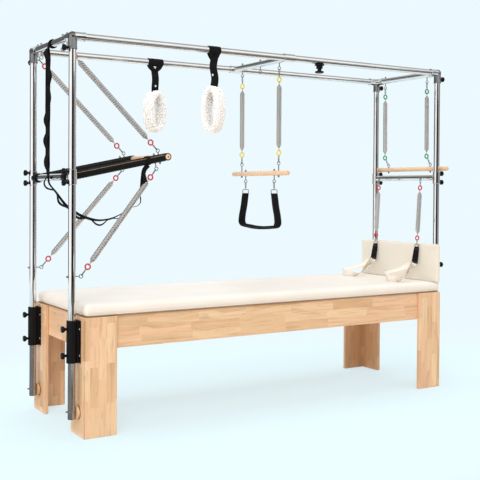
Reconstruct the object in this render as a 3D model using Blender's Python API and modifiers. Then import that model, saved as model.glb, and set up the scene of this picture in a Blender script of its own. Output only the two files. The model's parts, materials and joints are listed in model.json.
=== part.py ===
"""Pilates trapeze table: a padded wooden bed under a tubular steel cage, with its springs and bars."""

import math

import bmesh
import bpy
from mathutils import Matrix, Vector

for old in list(bpy.data.objects):
    bpy.data.objects.remove(old, do_unlink=True)

# Everything is in metres. X runs along the bed, Y across it and Z up.
# The bed is centred on X = Y = 0.
CLEARANCE = 0.0003

# Heights stand on each other: the bed on its legs, the crossbars over the bed, and the cage over the crossbars.

# Bed.
LEG_X = 1.1955
LEG_Y = 0.378
BOARD = 0.020
LEG_SIDE_WIDTH = 0.176
LEG_END_WIDTH = 0.181
BED_Z = 0.600
RAIL_DEPTH = 0.164
RAIL_BOTTOM_Z = BED_Z - RAIL_DEPTH
RAIL_BOARD = 0.022
LEDGE = 0.018
DECK_THICK = 0.018
SPACER_R = 0.034
SPACER_Z = 0.121
MAT_THICK = 0.067
MAT_SHORT = 0.0055
MAT_SET_BACK = 0.005
MAT_Y = LEG_Y - MAT_SET_BACK
MAT_ROUND = 0.026
MAT_DENT = 0.012
MAT_TOP_Z = BED_Z + CLEARANCE + MAT_THICK
BACKBOARD_SET_BACK = 0.0255
BACKBOARD_FACE_X = LEG_X - BACKBOARD_SET_BACK
BACKBOARD_THICK = 0.027
BACKBOARD_Y = LEG_Y - 0.001
BACKBOARD_HEIGHT = 0.2347
BACKBOARD_TOP_Z = MAT_TOP_Z + BACKBOARD_HEIGHT

# Brackets that hold the posts on the legs, and clamps that hold the backboard.
BRACKET_HEIGHT = 0.212
BRACKET_BELOW_BED = 0.017
BRACKET_TOP_Z = BED_Z - BRACKET_BELOW_BED
BRACKET_LOW_Z = BRACKET_TOP_Z - BRACKET_HEIGHT
BRACKET_R = 0.0265
BRACKET_KNOB_LOW = 0.038
BRACKET_KNOB_GAP = 0.132
FLANGE_HALF = 0.037
FLANGE_THICK = 0.0045
CLAMP_RISE = 0.0977
CLAMP_Z = MAT_TOP_Z + CLAMP_RISE
CLAMP_HALF = 0.030
PLATE_HALF = 0.040

# Clamping knobs.
KNOB_R = 0.0165
KNOB_STEM_R = 0.0065
KNOB_LENGTH = 0.031
KNOB_SIDES = 8

# Springs hang from the top tubes by this much more than the bars that they carry.
LOOP_ROOM = 0.6572
RIGHT_BAR_Z = MAT_TOP_Z + LOOP_ROOM
TOP_OVER_RIGHT_BAR = 0.6715
TOP_OVER_LEFT_BAR = 0.699

# Cage of steel tube.
TUBE_R = 0.019
TUBE_WALL = 0.0025
TUBE_SIDES = 16
BORE_R = TUBE_R + CLEARANCE
TURNING_BORE_R = BORE_R / math.cos(math.pi / TUBE_SIDES)
POST_OFF_LEG = 0.035
POST_X = LEG_X + POST_OFF_LEG
POST_FROM_SIDE = 0.080
POST_Y = LEG_Y - POST_FROM_SIDE
RAIL_Z = RIGHT_BAR_Z + TOP_OVER_RIGHT_BAR
POST_FOOT_Z = 0.090
FITTING_R = 0.0235
FITTING_REACH = 0.066
CORNER_KNOB_DROP = 0.038
CORNER_KNOB_DROP_FL = 0.060
CORNER_KNOB_DROP_BL = 0.056
TUBE_INSET = 0.025

# Crossbars that slide on the posts.
LEFT_BAR_Z = RAIL_Z - TOP_OVER_LEFT_BAR
COLLAR_R = 0.0238
COLLAR_HALF = 0.038
COLLAR_KNOB_DZ = 0.028

# Eyebolts, hooks and springs.
EYE_R = 0.0095
EYE_WIRE = 0.0022
EYE_DROP = 0.048
EYE_Y = 0.204
NUT_R = 0.0062
NUT_THICK = 0.006
SHANK_R = 0.003
HOOK_WIRE = 0.0020
HOOK_HALF = 0.0055
RING_R = 0.0135
RING_WIRE = 0.0040
COIL_R = 0.0143
COIL_TIP_R = 0.0035
COIL_NECK = 0.0125
COIL_TAPER = 0.022

# Trapeze on its carriage.
TRAPEZE_X = 0.070
CARRIAGE_HALF = 0.037
CARRIAGE_R = 0.0226
TRAPEZE_DROP = 0.6575
TRAPEZE_BAR_Z = RAIL_Z - TRAPEZE_DROP
TRAPEZE_BAR_HALF = 0.302
TRAPEZE_EYE_UP = 0.057
DOWEL_R = 0.0145
SLING_EYE_Y = 0.158
SLING_DROP = 0.3265
SLING_LOW_Z = TRAPEZE_BAR_Z - SLING_DROP
SLING_LINK = 0.060
SLING_D_HALF = 0.0208
SLING_D_UP = 0.0103
SLING_D_DOWN = 0.0123

# Roll-down bar outside the right posts, just over the crossbar's knobs. Its springs hang
# upright, and their lower hooks lean out to the bar.
ROLL_OUT = 0.036
ROLL_X = POST_X + ROLL_OUT
ROLL_RING_OUT = 0.002
ROLL_RING_UP = 0.0819
ROLL_OVER_BAR = 0.0601
ROLL_Z = RIGHT_BAR_Z + ROLL_OVER_BAR
ROLL_HALF = 0.358
ROLL_EYE = 0.028

# Push-through bar on the left crossbar.
ARM_Y = 0.222
ARM_R = 0.021
ARM_LENGTH = 0.5725
ARM_RISE = math.radians(11.76)
ARM_EYE_UP_AT = 0.528
ARM_EYE_DOWN_AT = 0.501
ARM_DROP_UP = 0.042
ARM_DROP_DOWN = 0.052
PUSH_DOWEL_R = 0.0155
PUSH_DOWEL_HALF = 0.244

# Lower anchors of the push-through springs on the left posts.
POST_EYE_DROP = 0.4955
POST_EYE_Z = LEFT_BAR_Z - POST_EYE_DROP

# Safety strap. It hangs in a slack bow between the left crossbar and the front arm.
STRAP_HALF = 0.014
STRAP_HALF_THICK = 0.0016
STRAP_WRAP = 0.004
STRAP_Y = 0.012
STRAP_AT_ARM = 0.458
STRAP_BOW_DROP = 0.227

# Arm springs and their loops, which lie on the mattress.
ARM_SPRING_LEAN = 0.0275
ARM_SPRING_DROP = 0.4395
SLEEVE_LENGTH = 0.112
HAND_LOOP_REACH = 0.255
HAND_LOOP_HALF = 0.066
HAND_LOOP_BAND = 0.019
HAND_LOOP_THICK = 0.0016
HAND_LOOP_LIFT = 0.012
HAND_RING_HALF = 0.012
HAND_RING_DOWN = 0.0075

# Fleece loops on the top rails.
LOOP_BACK_X = -0.485
LOOP_FRONT_X = -0.425
LOOP_BACK_DROP = 0.292
LOOP_FRONT_DROP = 0.322
LOOP_BACK_HALF = 0.123
LOOP_FRONT_HALF = 0.126
LOOP_BACK_WIDTH = 0.064
LOOP_FRONT_WIDTH = 0.058
LOOP_BACK_WAY = (0.24, -0.97, 0)
LOOP_FRONT_WAY = (-0.905, -0.426, 0)
CUFF_HALF = 0.035
CUFF_THICK = 0.014
CUFF_ROUND = 0.008
HITCH_BACK = 0.048
HITCH_FRONT = 0.036
HITCH_THICK = 0.0038
HITCH_DROP = 0.070
LOOP_BAND_HALF = 0.021
LOOP_BAND_THICK = 0.0018

# Stop under the front rail.
STOP_X = 0.290

X_AXIS = Vector((1, 0, 0))
Y_AXIS = Vector((0, 1, 0))
Z_AXIS = Vector((0, 0, 1))

scene = bpy.context.scene
parts = bpy.data.collections.new("pilates_trapeze_table")
tools = bpy.data.collections.new("cutters")
scene.collection.children.link(parts)
scene.collection.children.link(tools)
tools.hide_render = True


def material(name, colour, roughness, metallic=0.0):
    made = bpy.data.materials.new(name)
    made.use_nodes = True
    shader = made.node_tree.nodes["Principled BSDF"]
    shader.inputs["Base Color"].default_value = (*colour, 1)
    shader.inputs["Roughness"].default_value = roughness
    shader.inputs["Metallic"].default_value = metallic
    made.diffuse_color = (*colour, 1)
    made.roughness = roughness
    made.metallic = metallic
    return made


STEEL = ("steel", (0.78, 0.78, 0.80), 0.12, 1.0)
BLACK = ("black", (0.02, 0.02, 0.022), 0.45, 0.0)
WOOD = ("wood", (0.72, 0.50, 0.30), 0.5, 0.0)
VINYL = ("vinyl", (0.90, 0.87, 0.80), 0.45, 0.0)
SPRING = ("spring", (0.45, 0.44, 0.42), 0.35, 0.8)
WEBBING = ("webbing", (0.02, 0.02, 0.02), 0.8, 0.0)
FLEECE = ("fleece", (0.92, 0.92, 0.90), 0.95, 0.0)
COTTON = ("cotton", (0.86, 0.82, 0.72), 0.9, 0.0)


def tool_mesh(mesh, name="tool"):
    """Puts a mesh in the helper collection, as one closed and outward facing shape."""
    shape = bmesh.new()
    shape.from_mesh(mesh)
    bmesh.ops.remove_doubles(shape, verts=shape.verts, dist=1e-6)
    bmesh.ops.recalc_face_normals(shape, faces=shape.faces)
    shape.to_mesh(mesh)
    shape.free()
    made = bpy.data.objects.new(name, mesh)
    tools.objects.link(made)
    made.display_type = "WIRE"
    made.hide_render = True
    return made


def evaluated(source, name="tool"):
    """Turns a curve, or a mesh with modifiers, into a helper mesh in world space."""
    bpy.context.view_layer.update()
    graph = bpy.context.evaluated_depsgraph_get()
    mesh = bpy.data.meshes.new_from_object(source.evaluated_get(graph))
    mesh.transform(source.matrix_world)
    bpy.data.objects.remove(source, do_unlink=True)
    return tool_mesh(mesh, name)


def turn_to(direction, at):
    """Matrix that carries the Z axis onto a direction, and the origin onto a point."""
    z = Vector(direction).normalized()
    hint = Z_AXIS if abs(z.z) < 0.7 else X_AXIS
    x = (hint - z * hint.dot(z)).normalized()
    y = z.cross(x)
    turn = Matrix((x, y, z)).transposed().to_4x4()
    return Matrix.Translation(Vector(at)) @ turn


def drum(start, end, radius, sides=TUBE_SIDES, twist=0.0):
    """Solid cylinder between two points. A twist keeps its corners off the edges of what it joins."""
    start = Vector(start)
    end = Vector(end)
    shape = bmesh.new()
    bmesh.ops.create_cone(
        shape, cap_ends=True, segments=sides, radius1=radius, radius2=radius, depth=(end - start).length
    )
    mesh = bpy.data.meshes.new("drum")
    shape.to_mesh(mesh)
    shape.free()
    mesh.transform(turn_to(end - start, (start + end) / 2) @ Matrix.Rotation(twist, 4, "Z"))
    return tool_mesh(mesh)


def block(low, high):
    """Box between two corners."""
    low = Vector(low)
    high = Vector(high)
    shape = bmesh.new()
    bmesh.ops.create_cube(shape, size=1.0)
    mesh = bpy.data.meshes.new("block")
    shape.to_mesh(mesh)
    shape.free()
    size = high - low
    mesh.transform(Matrix.Translation((low + high) / 2) @ Matrix.Diagonal((*size, 1)))
    return tool_mesh(mesh)


def turned(profile, at, direction, sides, closed=False):
    """Shape turned round an axis from (radius, height) points, with a Screw modifier."""
    count = len(profile)
    edges = [(i, (i + 1) % count) for i in range(count if closed else count - 1)]
    mesh = bpy.data.meshes.new("profile")
    mesh.from_pydata([(r, 0, h) for r, h in profile], edges, [])
    source = bpy.data.objects.new("profile", mesh)
    tools.objects.link(source)
    screw = source.modifiers.new("Screw", "SCREW")
    screw.steps = sides
    screw.render_steps = sides
    screw.use_merge_vertices = True
    screw.merge_threshold = 1e-5
    source.matrix_world = turn_to(direction, at)
    return evaluated(source)


def pipe(start, end, outer=TUBE_R, inner=TUBE_R - TUBE_WALL, sides=TUBE_SIDES):
    """Hollow tube between two points."""
    start = Vector(start)
    end = Vector(end)
    length = (end - start).length
    ring = [(inner, 0), (outer, 0), (outer, length), (inner, length)]
    return turned(ring, start, end - start, sides, closed=True)


def wire(points, radius, resolution=1, cyclic=False):
    """Round wire along points, as a curve with a bevel and filled caps."""
    curve = bpy.data.curves.new("wire", "CURVE")
    curve.dimensions = "3D"
    curve.bevel_depth = radius
    curve.bevel_resolution = resolution
    curve.use_fill_caps = True
    line = curve.splines.new("POLY")
    line.points.add(len(points) - 1)
    for place, point in zip(line.points, points):
        place.co = (*point, 1)
    line.use_cyclic_u = cyclic
    source = bpy.data.objects.new("wire", curve)
    tools.objects.link(source)
    return evaluated(source)


def ring(centre, normal, major, minor, around=12, resolution=1):
    """Closed round ring."""
    frame = turn_to(normal, centre)
    step = math.tau / around
    circle = [
        frame @ Vector((major * math.cos(i * step), major * math.sin(i * step), 0))
        for i in range(around)
    ]
    return wire(circle, minor, resolution, cyclic=True)


def hook(far, near, across, half=HOOK_HALF, radius=HOOK_WIRE):
    """Long closed link from one wire to another, flat in the plane of its length and across."""
    far = Vector(far)
    near = Vector(near)
    along = (near - far).normalized()
    side = (across - along * across.dot(along)).normalized()
    length = (near - far).length
    corners = 4
    points = []
    for i in range(corners):
        a = math.pi * (i + 0.5) / corners
        points.append(far + along * (half - half * math.sin(a)) - side * half * math.cos(a))
    for i in range(corners):
        a = math.pi * (i + 0.5) / corners
        points.append(far + along * (length - half + half * math.sin(a)) + side * half * math.cos(a))
    return wire(points, radius, 0, cyclic=True)


def eyebolt(on_axis, direction, drop=EYE_DROP, tube=TUBE_R, around=8):
    """Eyebolt through a bar: the ring hangs in the XZ plane, the nut sits on the other side."""
    on_axis = Vector(on_axis)
    direction = Vector(direction).normalized()
    head = on_axis - direction * (tube - 0.0006)
    nut_end = head - direction * (NUT_THICK + 0.0006)
    tip = nut_end - direction * 0.004
    return [
        drum(tip, on_axis + direction * (drop - EYE_R), SHANK_R, 6, 0.21),
        drum(nut_end, head, NUT_R, 6, 0.13),
        ring(on_axis + direction * drop, Y_AXIS, EYE_R, EYE_WIRE, around, 0),
    ]


def strip(path, across, half_width, half_thick, cyclic=False):
    """Flat webbing along a path, with a width direction for each point."""
    count = len(path)
    shape = bmesh.new()
    rows = []
    for i in range(count):
        before = path[i - 1] if cyclic or i else path[0]
        after = path[(i + 1) % count] if cyclic or i < count - 1 else path[-1]
        along = (Vector(after) - Vector(before)).normalized()
        wide = Vector(across[i] if isinstance(across, list) else across)
        wide = (wide - along * wide.dot(along)).normalized()
        thick = along.cross(wide)
        w = wide * (half_width[i] if isinstance(half_width, list) else half_width)
        t = thick * (half_thick[i] if isinstance(half_thick, list) else half_thick)
        centre = Vector(path[i])
        rows.append([shape.verts.new(centre + a) for a in (w + t, t - w, -w - t, w - t)])
    pairs = count if cyclic else count - 1
    for i in range(pairs):
        a = rows[i]
        b = rows[(i + 1) % count]
        for j in range(4):
            shape.faces.new((a[j], a[(j + 1) % 4], b[(j + 1) % 4], b[j]))
    if not cyclic:
        shape.faces.new(rows[0])
        shape.faces.new(list(reversed(rows[-1])))
    mesh = bpy.data.meshes.new("strip")
    shape.to_mesh(mesh)
    shape.free()
    return tool_mesh(mesh)


def outline(points, depth):
    """Flat outline in XY, given a thickness along Z, from a 2D curve."""
    curve = bpy.data.curves.new("outline", "CURVE")
    curve.dimensions = "2D"
    curve.fill_mode = "BOTH"
    curve.extrude = depth / 2
    line = curve.splines.new("POLY")
    line.points.add(len(points) - 1)
    for place, point in zip(line.points, points):
        place.co = (point[0], point[1], 0, 1)
    line.use_cyclic_u = True
    source = bpy.data.objects.new("outline", curve)
    tools.objects.link(source)
    return source


def bevel(target, width, segments=1, angle=30):
    """Rounds the edges of a helper mesh that turn by more than an angle."""
    edge = target.modifiers.new("Bevel", "BEVEL")
    edge.width = width
    edge.segments = segments
    edge.limit_method = "ANGLE"
    edge.angle_limit = math.radians(angle)
    edge.use_clamp_overlap = True
    return target


def node(name, finish, base, joins=(), cuts=(), pivot=(0, 0, 0), smooth=35):
    """Makes the named sub-part: the base shape, joined and cut by exact Booleans, with its origin on its pivot."""
    base.name = name
    base.data.name = name
    tools.objects.unlink(base)
    parts.objects.link(base)
    base.hide_render = False
    base.display_type = "TEXTURED"
    pivot = Vector(pivot)
    base.data.transform(Matrix.Translation(-pivot))
    base.location = pivot
    base.data.materials.clear()
    base.data.materials.append(material(name, *finish[1:]))
    for i, tool in enumerate([*joins, *cuts]):
        step = base.modifiers.new(f"Boolean {i}", "BOOLEAN")
        step.operation = "UNION" if i < len(joins) else "DIFFERENCE"
        step.solver = "EXACT"
        step.object = tool
        tool.name = f"{name}_tool_{i}"
    for face in base.data.polygons:
        face.use_smooth = True
    base.data.set_sharp_from_angle(angle=math.radians(smooth))
    return base


def knob_at(seat, direction):
    """Clamping knob: a stem, a cone and a domed head."""
    reach = KNOB_LENGTH
    profile = [
        (0, reach),
        (KNOB_R * 0.8, reach),
        (KNOB_R, reach - 0.004),
        (KNOB_R, reach - 0.013),
        (KNOB_STEM_R, reach - 0.023),
        (KNOB_STEM_R, 0),
        (0, 0),
    ]
    return turned(profile, seat, direction, KNOB_SIDES)


def spring_parts(eye_a, eye_b, hook_a, hook_b, hang=None, side_b=Y_AXIS):
    """Tension spring between the centres of two eyes: coil envelope, end rings and closed hooks.

    With hang, the second ring hangs there, and its hook leans from it to the second eye.
    """
    eye_a = Vector(eye_a)
    eye_b = Vector(eye_b)
    level = (hang or eye_b) - eye_a
    level.y = 0
    seat_a = eye_a + level.normalized() * EYE_R
    if hang:
        along = (hang - seat_a).normalized()
        pull = (eye_b - hang).normalized()
        seat_b = eye_b - pull * EYE_R
        ring_b = hang
    else:
        seat_b = eye_b - level.normalized() * EYE_R
        along = (seat_b - seat_a).normalized()
        pull = along
        ring_b = seat_b - along * hook_b
    ring_a = seat_a + along * hook_a
    coil_a = ring_a + along * (RING_R + COIL_NECK)
    coil_b = ring_b - along * (RING_R + COIL_NECK)
    length = (coil_b - coil_a).length
    profile = [
        (0, length),
        (COIL_TIP_R, length),
        (COIL_R, length - COIL_TAPER),
        (COIL_R, COIL_TAPER),
        (COIL_TIP_R, 0),
        (0, 0),
    ]
    base = turned(profile, coil_a, along, 10)
    joins = []
    for seat, centre, tip, inward, outward, side in (
        (seat_a, ring_a, coil_a, along, -along, Y_AXIS),
        (seat_b, ring_b, coil_b, -along, pull, side_b),
    ):
        joins.append(drum(centre + inward * (RING_R - 0.0005), tip + inward * 0.004, 0.0023, 5))
        joins.append(ring(centre, Y_AXIS, RING_R, RING_WIRE, 10))
        far = seat + outward * (EYE_WIRE + HOOK_WIRE + 2 * CLEARANCE)
        joins.append(hook(far, centre + outward * (RING_R - 0.001), side))
    return base, joins


def d_ring(centre, wide, up, half, top, low, radius):
    """Flat ring with rounded corners, of round wire."""
    turn = 0.004
    corners = [
        (turn - half, top),
        (half - turn, top),
        (half, top - turn),
        (half, turn - low),
        (half - turn, -low),
        (turn - half, -low),
        (-half, turn - low),
        (-half, top - turn),
    ]
    return wire([centre + wide * a + up * b for a, b in corners], radius, 0, cyclic=True)


ENDS = ((-1, -1, "fl"), (-1, 1, "bl"), (1, -1, "fr"), (1, 1, "br"))

# Legs: two boards glued to a corner, with the round wood spacer that keeps the post off the leg.
for sx, sy, tag in ENDS:
    corner = [
        (0, 0),
        (LEG_SIDE_WIDTH, 0),
        (LEG_SIDE_WIDTH, BOARD),
        (BOARD, BOARD),
        (BOARD, LEG_END_WIDTH),
        (0, LEG_END_WIDTH),
    ]
    if sx * sy < 0:
        corner = [(x, y) for x, y in reversed(corner)]
    source = outline([(-sx * x, -sy * y) for x, y in corner], BED_Z)
    source.location = (sx * LEG_X, sy * LEG_Y, BED_Z / 2)
    leg = bevel(evaluated(source), 0.0018)
    spacer_in = Vector((sx * (LEG_X - 0.004), sy * POST_Y, SPACER_Z))
    spacer_out = Vector((sx * (POST_X - BORE_R), sy * POST_Y, SPACER_Z))
    node(f"leg_{tag}", WOOD, leg, joins=[drum(spacer_in, spacer_out, SPACER_R, 16)])

# Side rails, set back behind the leg boards, with the ledge that carries the deck.
rail_face = LEG_Y - BOARD - CLEARANCE
rail_end = LEG_X - BOARD - CLEARANCE
deck_low = BED_Z - DECK_THICK
for sy, tag in ((-1, "front"), (1, "back")):
    inner = rail_face - RAIL_BOARD
    section = [
        (rail_face, RAIL_BOTTOM_Z),
        (rail_face, BED_Z),
        (inner, BED_Z),
        (inner, deck_low - CLEARANCE),
        (inner - LEDGE, deck_low - CLEARANCE),
        (inner - LEDGE, deck_low - CLEARANCE - LEDGE),
        (inner, deck_low - CLEARANCE - LEDGE),
        (inner, RAIL_BOTTOM_Z),
    ]
    source = outline([(sy * y, z) for y, z in section], 2 * (rail_end - RAIL_BOARD - CLEARANCE))
    source.matrix_world = Matrix(((0, 0, 1, 0), (1, 0, 0, 0), (0, 1, 0, 0), (0, 0, 0, 1)))
    node(f"rail_{tag}", WOOD, bevel(evaluated(source), 0.001))

# End rails, between the two leg pairs.
for sx, tag in ((-1, "left"), (1, "right")):
    near = sx * (rail_end - RAIL_BOARD)
    far = sx * rail_end
    low = (min(near, far), -rail_face, RAIL_BOTTOM_Z)
    high = (max(near, far), rail_face, BED_Z)
    node(f"rail_{tag}", WOOD, bevel(block(low, high), 0.0024))

# Deck under the mattress, on the ledges.
deck_x = rail_end - RAIL_BOARD - CLEARANCE
deck_y = rail_face - RAIL_BOARD - CLEARANCE
deck = bevel(block((-deck_x, -deck_y, deck_low), (deck_x, deck_y, BED_Z)), 0.0016)
node("deck", WOOD, deck)

# Mattress: rounded all round, and dented at the right end by the backboard.
mat = bevel(
    block((MAT_SHORT - LEG_X, -MAT_Y, BED_Z + CLEARANCE), (LEG_X, MAT_Y, MAT_TOP_Z)), MAT_ROUND, 3
)
dent = block(
    (BACKBOARD_FACE_X - 0.0015, -MAT_Y - 0.01, MAT_TOP_Z - MAT_DENT),
    (LEG_X + 0.01, MAT_Y + 0.01, MAT_TOP_Z + 0.01),
)
node("mattress", VINYL, mat, cuts=[dent], smooth=60)

# Upholstered board that stands in the dent.
backboard = bevel(
    block(
        (BACKBOARD_FACE_X, -BACKBOARD_Y, MAT_TOP_Z - MAT_DENT + CLEARANCE),
        (BACKBOARD_FACE_X + BACKBOARD_THICK, BACKBOARD_Y, BACKBOARD_TOP_Z),
    ),
    0.005,
    2,
)
node("backboard", VINYL, backboard, smooth=60)

# Two clamps hold the board on the right posts.
plate_in = BACKBOARD_FACE_X + BACKBOARD_THICK + CLEARANCE
for sy, tag in ((-1, "front"), (1, "back")):
    y = sy * POST_Y
    sleeve = drum((POST_X, y, CLAMP_Z - CLAMP_HALF), (POST_X, y, CLAMP_Z + CLAMP_HALF), BRACKET_R)
    plate = block(
        (plate_in, y - 0.034, CLAMP_Z - PLATE_HALF),
        (plate_in + 0.005, y + 0.034, CLAMP_Z + PLATE_HALF),
    )
    web_z = CLAMP_HALF - 0.001
    web = block(
        (plate_in + 0.001, y - 0.02, CLAMP_Z - web_z),
        (POST_X - 0.006, y + 0.02, CLAMP_Z + web_z),
    )
    knob = knob_at((POST_X + BRACKET_R - 0.002, y, CLAMP_Z), X_AXIS)
    bore_z = CLAMP_HALF + 0.02
    bore = drum((POST_X, y, CLAMP_Z - bore_z), (POST_X, y, CLAMP_Z + bore_z), BORE_R)
    node(f"board_clamp_{tag}", BLACK, sleeve, joins=[plate, web, knob], cuts=[bore])

# Posts: steel tube, with the lower pin on each and, at the left, the eyebolt for a lower spring.
for sx, sy, tag in ENDS:
    foot = Vector((sx * POST_X, sy * POST_Y, POST_FOOT_Z))
    head = Vector((sx * POST_X, sy * POST_Y, RAIL_Z - TUBE_INSET))
    pin_z = SPACER_Z + 0.007
    pin_out = Vector((sx * (POST_X + TUBE_R + 0.011), sy * POST_Y, pin_z))
    pin_in = Vector((sx * (POST_X - TUBE_R + 0.0005), sy * POST_Y, pin_z))
    joins = [drum(pin_in, pin_out, 0.004, 8)]
    if sx < 0:
        joins += eyebolt((sx * POST_X, sy * POST_Y, POST_EYE_Z), X_AXIS)
    node(f"post_{tag}", STEEL, pipe(foot, head), joins=joins)

# Brackets: a sleeve round the post, a web and a flange on the leg, and two knobs. The knobs
# look outwards at the left end, and to the middle of the table at the right end.
for sx, sy, tag in ENDS:
    y = sy * POST_Y
    low = BRACKET_LOW_Z
    top = BRACKET_TOP_Z
    flange_in = sx * (LEG_X + CLEARANCE)
    flange_out = sx * (LEG_X + CLEARANCE + FLANGE_THICK)
    web_in = sx * (LEG_X + CLEARANCE + 0.001)
    sleeve = drum((sx * POST_X, y, low), (sx * POST_X, y, top), BRACKET_R)
    flange = block(
        (min(flange_in, flange_out), y - FLANGE_HALF, low),
        (max(flange_in, flange_out), y + FLANGE_HALF, top),
    )
    web_half = BRACKET_R * 0.93
    web = block(
        (min(web_in, sx * POST_X), y - web_half, low + 0.0005),
        (max(web_in, sx * POST_X), y + web_half, top - 0.0005),
    )
    knob_low = low + BRACKET_KNOB_LOW
    way = -X_AXIS if sx < 0 else -Y_AXIS * sy
    knobs = [
        knob_at(Vector((sx * POST_X, y, z)) + way * (BRACKET_R - 0.002), way)
        for z in (knob_low, knob_low + BRACKET_KNOB_GAP)
    ]
    bore = drum((sx * POST_X, y, low - 0.02), (sx * POST_X, y, top + 0.02), BORE_R)
    node(f"bracket_{tag}", BLACK, sleeve, joins=[web, flange, *knobs], cuts=[bore])

# Corner fittings: three sockets that meet in a round elbow, with a knob on the lower one.
CORNER_KNOBS = {
    "fl": (-X_AXIS, CORNER_KNOB_DROP_FL),
    "bl": (Y_AXIS, CORNER_KNOB_DROP_BL),
    "fr": (X_AXIS, CORNER_KNOB_DROP),
    "br": (X_AXIS, CORNER_KNOB_DROP),
}
for sx, sy, tag in ENDS:
    centre = Vector((sx * POST_X, sy * POST_Y, RAIL_Z))
    arms = (-X_AXIS * sx, -Y_AXIS * sy, -Z_AXIS)
    ball = bmesh.new()
    bmesh.ops.create_uvsphere(ball, u_segments=12, v_segments=6, radius=FITTING_R)
    ball_mesh = bpy.data.meshes.new("ball")
    ball.to_mesh(ball_mesh)
    ball.free()
    ball_mesh.transform(Matrix.Translation(centre))
    joins = [drum(centre, centre + arm * FITTING_REACH, FITTING_R) for arm in arms]
    way, knob_drop = CORNER_KNOBS[tag]
    joins.append(knob_at(centre - Z_AXIS * knob_drop + way * (FITTING_R - 0.002), way))
    cuts = [
        drum(centre + arm * (TUBE_INSET - CLEARANCE), centre + arm * (FITTING_REACH + 0.01), BORE_R)
        for arm in arms
    ]
    node(f"corner_{tag}", STEEL, tool_mesh(ball_mesh), joins=joins, cuts=cuts)

# Top rails and end tubes of the cage. The end tubes carry the eyebolts for springs.
rail_half = POST_X - TUBE_INSET
cross_half = POST_Y - TUBE_INSET
for sy, tag in ((-1, "front"), (1, "back")):
    start = Vector((-rail_half, sy * POST_Y, RAIL_Z))
    end = Vector((rail_half, sy * POST_Y, RAIL_Z))
    node(f"top_rail_{tag}", STEEL, pipe(start, end))
for sx, tag, eye_ys in (
    (-1, "left", (-ARM_Y, ARM_Y)),
    (1, "right", (-EYE_Y, EYE_Y)),
):
    start = Vector((sx * POST_X, -cross_half, RAIL_Z))
    end = Vector((sx * POST_X, cross_half, RAIL_Z))
    joins = []
    for y in eye_ys:
        joins += eyebolt((sx * POST_X, y, RAIL_Z), -Z_AXIS)
    node(f"end_tube_{tag}", STEEL, pipe(start, end), joins=joins)


def post_crossbar(name, sx, z, eyes, fused_knobs):
    """Crossbar between two collars that slide on the posts of one end."""
    x = sx * POST_X
    bar = drum((x, -POST_Y, z), (x, POST_Y, z), TUBE_R)
    joins = []
    cuts = []
    for sy in (-1, 1):
        y = sy * POST_Y
        joins.append(drum((x, y, z - COLLAR_HALF), (x, y, z + COLLAR_HALF), COLLAR_R))
        cuts.append(drum((x, y, z - COLLAR_HALF - 0.01), (x, y, z + COLLAR_HALF + 0.01), BORE_R))
        for dz in (-COLLAR_KNOB_DZ, COLLAR_KNOB_DZ):
            seat = Vector((x + sx * (COLLAR_R - 0.002), y, z + dz))
            if fused_knobs:
                joins.append(knob_at(seat, X_AXIS * sx))
            else:
                hole = (KNOB_STEM_R + CLEARANCE) / math.cos(math.pi / TUBE_SIDES)
                inner = seat - X_AXIS * sx * 0.004
                outer = seat + X_AXIS * sx * 0.02
                cuts.append(drum(inner, outer, hole))
    for y in eyes:
        joins += eyebolt((x, y, z), -X_AXIS * sx)
    return node(name, STEEL, bar, joins=joins, cuts=cuts, pivot=(x, 0, z))


# Left crossbar carries the push-through bar. Its four clamping knobs are pieces of their own.
post_crossbar("crossbar_left", -1, LEFT_BAR_Z, (), False)
for sy, side in ((-1, "front"), (1, "back")):
    for dz, level in ((-COLLAR_KNOB_DZ, "low"), (COLLAR_KNOB_DZ, "high")):
        seat = Vector((-POST_X - BORE_R - 0.0004, sy * POST_Y, LEFT_BAR_Z + dz))
        knob = knob_at(seat, -X_AXIS)
        stretch = COLLAR_R - BORE_R - 0.0024
        for vertex in knob.data.vertices:
            if vertex.co.x < seat.x - 0.004:
                vertex.co.x -= stretch
        node(f"knob_left_{side}_{level}", BLACK, knob, pivot=seat)

# Right crossbar carries the arm springs.
post_crossbar("crossbar_right", 1, RIGHT_BAR_Z, (-EYE_Y, 0, EYE_Y), True)

# Stop under the front rail: a saddle with a flange, and the knob that locks it.
stop = Vector((STOP_X, -POST_Y, RAIL_Z))
saddle_profile = [
    (0, -0.015),
    (0.0288, -0.015),
    (0.0288, -0.026),
    (0.019, -0.028),
    (0.019, -0.044),
    (0.0118, -0.046),
    (0.0118, -0.0577),
    (0, -0.0577),
]
saddle = turned(saddle_profile, stop, Z_AXIS, 16)
saddle_bore = drum(stop - X_AXIS * 0.05, stop + X_AXIS * 0.05, BORE_R)
stud_bore = drum(stop - Z_AXIS * 0.066, stop - Z_AXIS * 0.034, 0.0060 + CLEARANCE, 16)
node("stop_saddle", BLACK, saddle, cuts=[saddle_bore, stud_bore])
knob_profile = [
    (0, -0.034 - CLEARANCE),
    (0.0060, -0.034 - CLEARANCE),
    (0.0060, -0.0577 - CLEARANCE),
    (0.0225, -0.0583),
    (0.026, -0.061),
    (0.026, -0.068),
    (0.0225, -0.0705),
    (0, -0.0705),
]
stop_knob = turned(knob_profile, stop, Z_AXIS, 16)
node("stop_knob", BLACK, stop_knob, pivot=stop - Z_AXIS * 0.060)

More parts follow.
